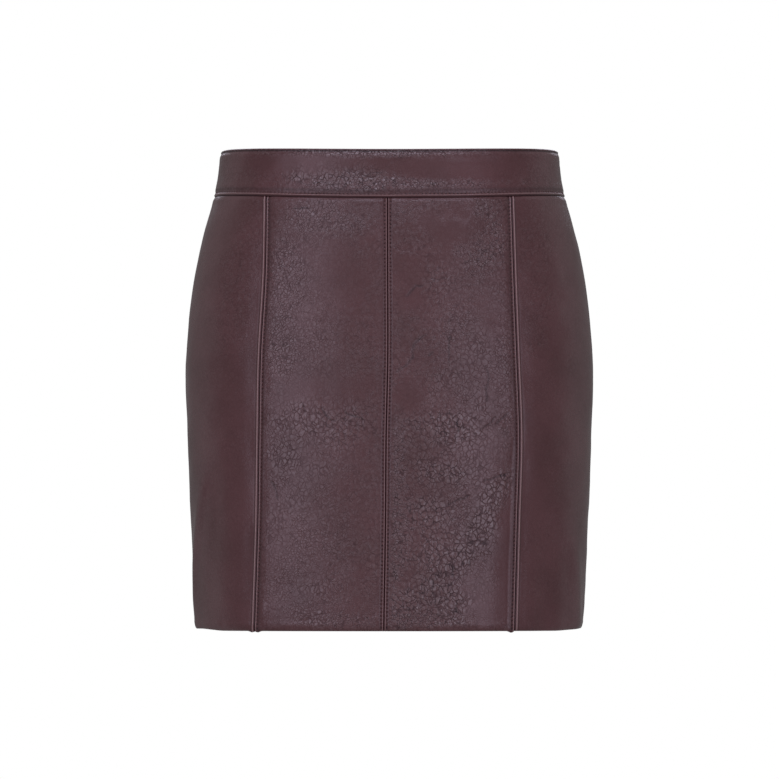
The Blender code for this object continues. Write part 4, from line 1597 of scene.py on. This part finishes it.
    def slider(self, finishes: Finishes) -> Object:
        """The slider: a shield-shaped body inside the tapes, a neck through the gap, and the pull's ear."""
        place, out, below = self.pivot()
        width, depth, height = self.slider_size
        behind = self.pivot_lift + self.band_thickness + self.tape_gap + self.tape_thickness + 0.0003
        angle = 2 * np.pi * np.arange(40) / 40
        x = np.sign(np.cos(angle)) * np.abs(np.cos(angle)) ** 0.55 * width / 2
        y = np.sign(np.sin(angle)) * np.abs(np.sin(angle)) ** 0.55 * height / 2
        x = x * (1.0 - 0.20 * (0.5 - y / height) ** 2)
        shield = np.stack([x, y], axis=1)
        tall = np.sign(np.sin(angle)) * np.abs(np.sin(angle)) ** 0.5
        neck_outline = np.stack([0.00025 * np.cos(angle), 0.001 * tall], axis=1)
        body = slab(shield, -behind - depth, -behind, 0.0005)
        neck = slab(neck_outline, -behind - 0.0004, -self.hole_radius - 0.0002, 0.00005)
        ear, ear_faces = ring_plate(
            angle, np.full(40, self.ear_radius), np.full(40, self.hole_radius), self.ear_thickness, 0.0001
        )
        ear = ear[:, [2, 1, 0]] * np.array([1.0, 1.0, -1.0])
        axes = np.stack([[-1.0, 0.0, 0.0], -below, out])
        groups, parts, count = [], [], 0
        for local, faces in (body, neck, (ear, [ear_faces])):
            groups += [Faces(group.corners + count) for group in faces]
            parts.append(place + local @ axes)
            count += len(local)
        obj = new_mesh("moulded_zip_slider", np.concatenate(parts), groups, [finishes.metal])
        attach(obj, SKIRT_BODY)
        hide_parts("zip_slider")
        return obj

    def build(self, finishes: Finishes) -> list[Object]:
        """Makes the whole zip."""
        made = [self.tape(1, "zip_tape_left", finishes), self.tape(-1, "zip_tape_right", finishes)]
        return [*made, self.slider(finishes), self.pull(finishes)]


# ------------------------------------------------------------------------------------ the studio
def aim(place: Vector, target: Vector) -> Matrix:
    """The world matrix of a camera or light at a place, looking at a target."""
    return Matrix.Translation(place) @ (target - place).to_track_quat("-Z", "Y").to_matrix().to_4x4()


@dataclass(frozen=True)
class Softbox:
    """A square-on rectangular light. Azimuth 0 is in front, 90 is on the skirt's left. Sizes in metres."""

    name: str
    azimuth: float
    elevation: float
    distance: float
    size: tuple[float, float]
    radiance: float
    colour: str = "#ffffff"

    def build(self, target: Vector) -> None:
        """Makes the light. Its power, as Cycles counts it, is four times its radiance times its area."""
        light = bpy.data.lights.new(self.name, "AREA")
        light.shape = "RECTANGLE"
        light.size, light.size_y = self.size
        light.energy = 4.0 * self.radiance * self.size[0] * self.size[1]
        light.color = linear(self.colour)[:3]
        obj = bpy.data.objects.new(self.name, light)
        azimuth, elevation = math.radians(self.azimuth), math.radians(self.elevation)
        level = math.cos(elevation)
        way = Vector((math.sin(azimuth) * level, -math.cos(azimuth) * level, math.sin(elevation)))
        obj.matrix_world = aim(target + way * self.distance, target)
        bpy.context.scene.collection.objects.link(obj)


@dataclass(frozen=True)
class Studio:
    """A white photographic studio: a pale floor, a white sweep, and tall softboxes. In metres.

    The sweep's radiance is ahead before the skirt, beside at its sides, flank a little behind them
    and behind at its back.
    """

    camera: tuple[float, float, float] = (0.0, -3.5, -0.348)
    target: tuple[float, float, float] = (0.0, 0.0, -0.179)
    lens: float = 195.6
    floor_drop: float = 1.02
    floor_radius: float = 4.0
    flank: float = 0.50
    behind: float = 0.22
    ahead: float = 0.35
    beside: float = 0.215
    boxes: tuple[Softbox, ...] = (
        Softbox("softbox_left", 31.0, -3.0, 2.6, (1.5, 1.6), 0.84, "#f0eeff"),
        Softbox("softbox_right", -33.0, 6.0, 2.6, (1.6, 2.0), 0.82, "#f0eeff"),
        Softbox("softbox_above", 0.0, 49.0, 2.6, (3.0, 1.0), 1.75, "#f0eeff"),
        Softbox("softbox_rear", 180.0, 38.0, 2.8, (3.4, 1.8), 1.3, "#f0eeff"),
    )

    def sweep(self) -> None:
        """The world: white to the eye, but as a light dim beside the skirt and brighter at its flanks."""
        world = bpy.data.worlds.new("white_sweep")
        world.use_nodes = True
        tree = world.node_tree
        tree.nodes.clear()
        way = add(tree, "TexCoord").outputs["Generated"]
        back = add(tree, "SeparateXYZ", {0: way}).outputs[1]
        front = add(tree, "MapRange", {0: back, 1: -0.9, 2: -0.5, 3: self.ahead, 4: self.beside})
        flank = add(tree, "MapRange", {0: back, 1: -0.15, 2: 0.2, 3: front.outputs[0], 4: self.flank})
        glow = add(tree, "MapRange", {0: back, 1: 0.25, 2: 0.8, 3: flank.outputs[0], 4: self.behind})
        lit = add(tree, "Background", {"Strength": glow.outputs[0]})
        seen = add(tree, "Background", {"Color": linear("#ffffff"), "Strength": 1.0})
        lit.inputs["Color"].default_value = linear("#ffffff")
        eye = add(tree, "LightPath").outputs["Is Camera Ray"]
        mixed = add(tree, "MixShader", {0: eye, 1: lit.outputs[0], 2: seen.outputs[0]})
        output = tree.nodes.new("ShaderNodeOutputWorld")
        tree.links.new(mixed.outputs[0], output.inputs[0])
        bpy.context.scene.world = world

    def floor(self) -> None:
        """A pale round floor, a waist's height below the waistband."""
        angle = 2 * np.pi * np.arange(96) / 96
        rim = np.stack([np.cos(angle), np.sin(angle), 0 * angle], axis=1) * self.floor_radius
        rim[:, 2] = -self.floor_drop
        made, _, shader = new_material("painted_floor")
        shader.inputs["Base Color"].default_value = linear("#f2f2f2")
        shader.inputs["Roughness"].default_value = 0.8
        shader.inputs["Emission Color"].default_value = linear("#ffffff")
        shader.inputs["Emission Strength"].default_value = 0.5
        obj = new_mesh("floor", rim, [Faces(np.arange(96)[None])], [made])
        obj.visible_diffuse = False
        obj.visible_glossy = False

    def build(self) -> None:
        """Makes the world, the floor, the lights and the camera."""
        scene = bpy.context.scene
        self.sweep()
        self.floor()
        for box in self.boxes:
            box.build(Vector(self.target))
        camera = bpy.data.cameras.new("camera")
        camera.sensor_width = 36.0
        camera.lens = self.lens
        obj = bpy.data.objects.new("camera", camera)
        obj.matrix_world = aim(Vector(self.camera), Vector(self.target))
        scene.collection.objects.link(obj)
        scene.camera = obj
        scene.view_settings.view_transform = "Standard"


# ------------------------------------------------------------------------------------ the skirt
TOPSTITCH = StitchRow(inset=2.2)

HIDES = {
    "front_centre_left": Hide(
        seed=300,
        grain=4.6,
        grain_height=0.12,
        fine=0.75,
        coarse=0.5,
        shrunken=1.15,
        patches=(
            Grain(50.5, 191.5, 24.0, 13.0, 0.0, 3.6, 0.42),
            Grain(45.0, 228.0, 18.0, 10.0, 0.0, 3.4, 0.39),
            Grain(34.0, 261.5, 20.0, 14.0, 0.0, 3.2, 0.36),
            Grain(44.0, 305.0, 30.0, 20.0, 90.0, 3.3, 0.36, 1.3),
            Grain(82.0, 263.0, 46.0, 12.0, 118.0, 3.2, 0.38, 1.4),
            Grain(79.0, 33.0, 32.0, 18.0, 90.0, 2.7, 0.30, 2.6),
            Grain(23.5, 34.5, 22.0, 10.0, -30.0, 2.7, 0.24, 2.2),
            Grain(9.0, 262.0, 11.0, 85.0, 0.0, 2.7, 0.30, 3.0),
            Grain(41.0, 336.0, 14.0, 42.0, 90.0, 3.5, 0.38, 1.6),
            Grain(38.0, 349.0, 34.0, 6.0, 0.0, 2.5, 0.20),
        ),
        calms=(
            Calm(16.0, 60.0, 32.0, 13.0, 90.0, sunk=0.25),
            Calm(15.0, 164.0, 14.0, 15.0, 0.0),
            Calm(95.0, 212.0, 13.0, 12.0, 0.0, 0.3),
            Calm(100.0, 292.0, 50.0, 9.0, 92.0, 0.8),
            Calm(86.0, 338.0, 20.0, 17.0, 90.0, 0.7),
            Calm(52.0, 28.0, 34.0, 16.0, 0.0, 0.75),
            Calm(80.0, 100.0, 18.0, 10.0, 90.0, 0.4),
        ),
        creases=(
            Crease(((34.5, 111.5), (21.5, 122.0), (19.5, 133.0), (12.5, 142.0), (3.5, 147.5)), 0.8, -0.40),
            Crease(((36.0, 128.0), (33.0, 133.5)), 0.8, -0.30),
            Crease(((49.0, 111.0), (49.5, 141.5)), 0.8, -0.18),
            Crease(((80.5, 140.0), (82.0, 150.0), (81.0, 160.0), (82.0, 173.0)), 0.8, -0.12),
            Crease(((57.5, 185.0), (58.0, 196.5)), 0.7, -0.40),
            Crease(((101.0, 179.5), (93.5, 186.0), (86.5, 190.0)), 0.9, -0.40),
            Crease(((91.0, 181.0), (85.0, 187.5), (74.0, 193.5)), 0.9, -0.40),
            Crease(((98.0, 187.0), (92.0, 192.0)), 1.8, 0.30),
            Crease(((103.5, 228.0), (84.5, 233.5), (77.0, 236.0)), 0.8, -0.40),
            Crease(((101.5, 231.5), (84.0, 237.5)), 1.8, 0.35),
            Crease(((70.5, 245.5), (56.5, 252.0), (46.0, 257.0)), 0.9, -0.45),
            Crease(((54.5, 304.0), (55.0, 315.5)), 0.8, -0.35),
            Crease(((68.5, 300.0), (68.5, 306.5)), 0.8, -0.30),
            Crease(((57.5, 331.5), (58.0, 344.5)), 0.8, -0.35),
            Crease(((38.5, 314.5), (39.0, 324.0)), 0.8, -0.30),
            Crease(((14.5, 84.0), (22.0, 75.0), (30.0, 73.5)), 0.9, -0.25),
            Crease(((52.0, 13.0), (66.0, 20.0)), 4.5, -0.35),
            Crease(((107.0, 190.0), (105.0, 290.0), (103.0, 357.0), (103.0, 380.0)), 13.0, -1.6),
        ),
    ),
    "front_centre_right": Hide(
        seed=200,
        grain=4.2,
        grain_height=0.09,
        fine=0.62,
        coarse=0.3,
        shrunken=0.85,
        patches=(
            Grain(48.0, 17.0, 32.0, 15.0, 0.0, 2.5, 0.22),
            Grain(15.5, 74.5, 42.0, 15.0, 90.0, 2.3, 0.21),
            Grain(18.0, 133.0, 18.0, 12.0, 0.0, 2.7, 0.30),
            Grain(56.0, 185.0, 42.0, 18.0, 0.0, 3.3, 0.33),
            Grain(20.0, 218.0, 16.0, 15.0, 0.0, 3.2, 0.27),
            Grain(66.0, 349.0, 38.0, 6.0, 0.0, 2.5, 0.20),
        ),
        calms=(
            Calm(70.0, 68.0, 20.0, 24.0, 0.0),
            Calm(65.0, 160.0, 30.0, 15.0, 0.0, sunk=0.15),
        ),
        creases=(
            Crease(((23.5, 10.0), (39.5, 9.5)), 0.8, -0.30),
            Crease(((51.5, 174.5), (56.5, 181.0), (60.5, 185.0), (65.0, 185.0)), 0.8, -0.40),
            Crease(((69.5, 177.5), (78.5, 180.5), (88.0, 185.5)), 0.8, -0.25),
            Crease(((36.0, 171.0), (40.0, 179.5)), 0.8, -0.28),
            Crease(((12.0, 233.0), (18.5, 251.0)), 0.8, -0.18),
            Crease(((6.5, 334.0), (7.0, 348.0)), 3.0, 0.45),
            Crease(((38.0, 348.0), (48.0, 344.0)), 3.0, 0.30),
            Crease(((102.0, 345.0), (102.5, 351.0)), 2.5, 0.45),
        ),
    ),
    "front_side_right": Hide(
        seed=100,
        grain_height=0.04,
        fine=0.25,
        shrunken=0.45,
        patches=(Grain(98.0, 70.0, 60.0, 20.0, 90.0, 2.6, 0.08),),
        creases=(
            Crease(((66.0, 225.0), (52.0, 265.0), (36.0, 305.0), (26.0, 345.0)), 6.5, 1.3),
            Crease(((84.0, 215.0), (73.0, 290.0), (62.0, 345.0)), 9.0, -0.6),
            Crease(((30.0, 60.0), (44.0, 130.0)), 12.0, -0.5),
        ),
    ),
    "front_side_left": Hide(
        seed=400,
        grain_height=0.04,
        fine=0.25,
        shrunken=0.45,
        patches=(Grain(20.0, 60.0, 70.0, 16.0, 90.0, 2.6, 0.08),),
        creases=(
            Crease(((-1.0, 180.0), (0.0, 250.0), (0.0, 300.0)), 5.0, -0.5),
            Crease(((60.0, 280.0), (70.0, 330.0), (73.0, 365.0)), 9.0, 1.3),
            Crease(((24.0, 240.0), (27.0, 300.0), (30.0, 380.0)), 16.0, -1.3),
            Crease(((92.0, 70.0), (80.0, 150.0)), 13.0, -0.5),
        ),
    ),
    "back_left": Hide(
        seed=500,
        fine=0.62,
        coarse=0.35,
        shrunken=0.85,
        patches=(
            Grain(60.0, 60.0, 46.0, 26.0, 90.0, 3.4, 0.21),
            Grain(150.0, 140.0, 50.0, 28.0, 20.0, 3.6, 0.24, 1.2),
            Grain(200.0, 260.0, 60.0, 24.0, 80.0, 3.2, 0.21, 1.4),
            Grain(48.0, 300.0, 44.0, 22.0, -25.0, 3.4, 0.21),
            Grain(120.0, 335.0, 52.0, 16.0, 0.0, 3.6, 0.21, 1.3),
        ),
        calms=(
            Calm(105.0, 230.0, 40.0, 26.0, 60.0, sunk=0.2),
            Calm(205.0, 60.0, 26.0, 18.0, 90.0),
            Calm(40.0, 190.0, 30.0, 20.0, 90.0, sunk=0.2),
        ),
        creases=(
            Crease(((86.0, 120.0), (104.0, 131.0), (118.0, 128.0)), 0.9, -0.4),
            Crease(((180.0, 196.0), (166.0, 206.0), (150.0, 209.0)), 0.9, -0.4),
            Crease(((70.0, 262.0), (71.0, 286.0)), 0.9, -0.35),
            Crease(((30.0, 232.0), (90.0, 252.0), (150.0, 240.0)), 7.0, -0.6),
            Crease(((120.0, 20.0), (60.0, 34.0), (20.0, 28.0)), 7.0, -0.5),
        ),
    ),
    "back_right": Hide(
        seed=600,
        fine=0.62,
        coarse=0.35,
        shrunken=0.85,
        patches=(
            Grain(40.0, 120.0, 40.0, 22.0, 70.0, 3.2, 0.21),
            Grain(130.0, 60.0, 48.0, 24.0, 10.0, 3.4, 0.22, 1.2),
            Grain(180.0, 190.0, 50.0, 26.0, 90.0, 3.6, 0.24, 1.3),
            Grain(70.0, 240.0, 54.0, 20.0, 35.0, 3.4, 0.21),
            Grain(150.0, 320.0, 60.0, 20.0, 0.0, 3.6, 0.22, 1.3),
        ),
        calms=(
            Calm(110.0, 160.0, 34.0, 24.0, 100.0, sunk=0.2),
            Calm(30.0, 320.0, 30.0, 18.0, 90.0, sunk=0.2),
            Calm(215.0, 110.0, 30.0, 16.0, 90.0),
        ),
        creases=(
            Crease(((52.0, 176.0), (66.0, 190.0), (84.0, 194.0)), 0.9, -0.4),
            Crease(((150.0, 248.0), (172.0, 240.0), (186.0, 244.0)), 0.9, -0.4),
            Crease(((118.0, 276.0), (119.0, 300.0)), 0.9, -0.35),
            Crease(((60.0, 224.0), (130.0, 214.0), (190.0, 230.0)), 7.0, -0.6),
            Crease(((110.0, 22.0), (170.0, 32.0), (214.0, 26.0)), 7.0, -0.5),
        ),
    ),
    "waistband_front": Hide(
        seed=700,
        grain=4.0,
        grain_height=0.12,
        fine=0.42,
        shrunken=1.3,
        patches=(
            Grain(158.0, 24.0, 11.0, 44.0, 90.0, 3.6, 0.60, 1.5),
            Grain(204.0, 29.0, 70.0, 4.0, 0.0, 2.6, 0.30),
            Grain(185.0, 4.5, 85.0, 3.5, 0.0, 2.4, 0.20),
        ),
        calms=(
            Calm(118.0, 13.0, 48.0, 7.0, 0.0, 0.7),
            Calm(186.0, 13.0, 30.0, 5.0, 0.0, 0.4),
            Calm(254.0, 16.0, 60.0, 10.0, 0.0, 0.7),
        ),
    ),
    "waistband_back_left": Hide(
        seed=800,
        fine=0.35,
        patches=(
            Grain(52.0, 26.0, 30.0, 10.0, 0.0, 3.6, 0.45),
            Grain(140.0, 12.0, 34.0, 6.0, 0.0, 2.6, 0.30),
        ),
        calms=(Calm(100.0, 20.0, 16.0, 10.0, 0.0),),
    ),
    "waistband_back_right": Hide(
        seed=900,
        fine=0.35,
        patches=(
            Grain(36.0, 10.0, 28.0, 6.0, 0.0, 2.6, 0.30),
            Grain(118.0, 24.0, 36.0, 10.0, 0.0, 3.6, 0.45),
        ),
        calms=(Calm(72.0, 22.0, 14.0, 10.0, 0.0),),
    ),
}

PANELS = (
    Panel(
        "front_side_right",
        Edge.RIGHT_SIDE,
        Edge.RIGHT_PRINCESS,
        SeamFinish.PRESSED,
        SeamFinish.ROLLED,
        end_sag=1.0,
    ),
    Panel(
        "front_centre_right",
        Edge.RIGHT_PRINCESS,
        Edge.CENTRE_FRONT,
        SeamFinish.LAPPED,
        SeamFinish.TOPSTITCHED,
        row_step=0.64,
        column_step=0.8,
        start_stitch=TOPSTITCH,
        end_stitch=TOPSTITCH,
        start_sag=1.0,
    ),
    Panel(
        "front_centre_left",
        Edge.CENTRE_FRONT,
        Edge.LEFT_PRINCESS,
        SeamFinish.TOPSTITCHED,
        SeamFinish.LAPPED,
        row_step=0.64,
        column_step=0.8,
        start_stitch=TOPSTITCH,
        end_stitch=TOPSTITCH,
        end_sag=1.2,
    ),
    Panel("front_side_left", Edge.LEFT_PRINCESS, Edge.LEFT_SIDE, SeamFinish.ROLLED, SeamFinish.PRESSED),
    Panel(
        "back_left",
        Edge.LEFT_SIDE,
        Edge.CENTRE_BACK,
        SeamFinish.PRESSED,
        SeamFinish.ZIPPED,
        row_step=1.05,
        column_step=1.0,
        dart=0.54,
    ),
    Panel(
        "back_right",
        Edge.CENTRE_BACK,
        Edge.RIGHT_SIDE_BEHIND,
        SeamFinish.ZIPPED,
        SeamFinish.PRESSED,
        row_step=1.05,
        column_step=1.0,
        dart=0.46,
    ),
)

WAISTBANDS = (
    Waistband("waistband_front", -180.0 - FORM.side_seam_turn, FORM.side_seam_turn),
    Waistband("waistband_back_left", FORM.side_seam_turn, FORM.centre_back_turn),
    Waistband("waistband_back_right", FORM.centre_back_turn, 180.0 - FORM.side_seam_turn),
)


def spans(low_high: tuple) -> list[list[float]]:
    """A pair of corners as plain lists of numbers."""
    return [[float(value) for value in corner] for corner in low_high]


def main() -> None:
    """Builds the skirt over its frame, and the studio round it."""
    logging.basicConfig(level=logging.INFO, format="%(name)s: %(message)s")
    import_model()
    finishes = Finishes.build()
    made: list[Object] = []
    for piece in (*PANELS, *WAISTBANDS, Zip()):
        made += piece.build(finishes)
    Studio().build()
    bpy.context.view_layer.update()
    triangles = sum(sum(len(face.vertices) - 2 for face in obj.data.polygons) for obj in made)
    LOG.info("%d pieces, %d triangles", len(made), triangles)


if __name__ == "__main__":
    main()
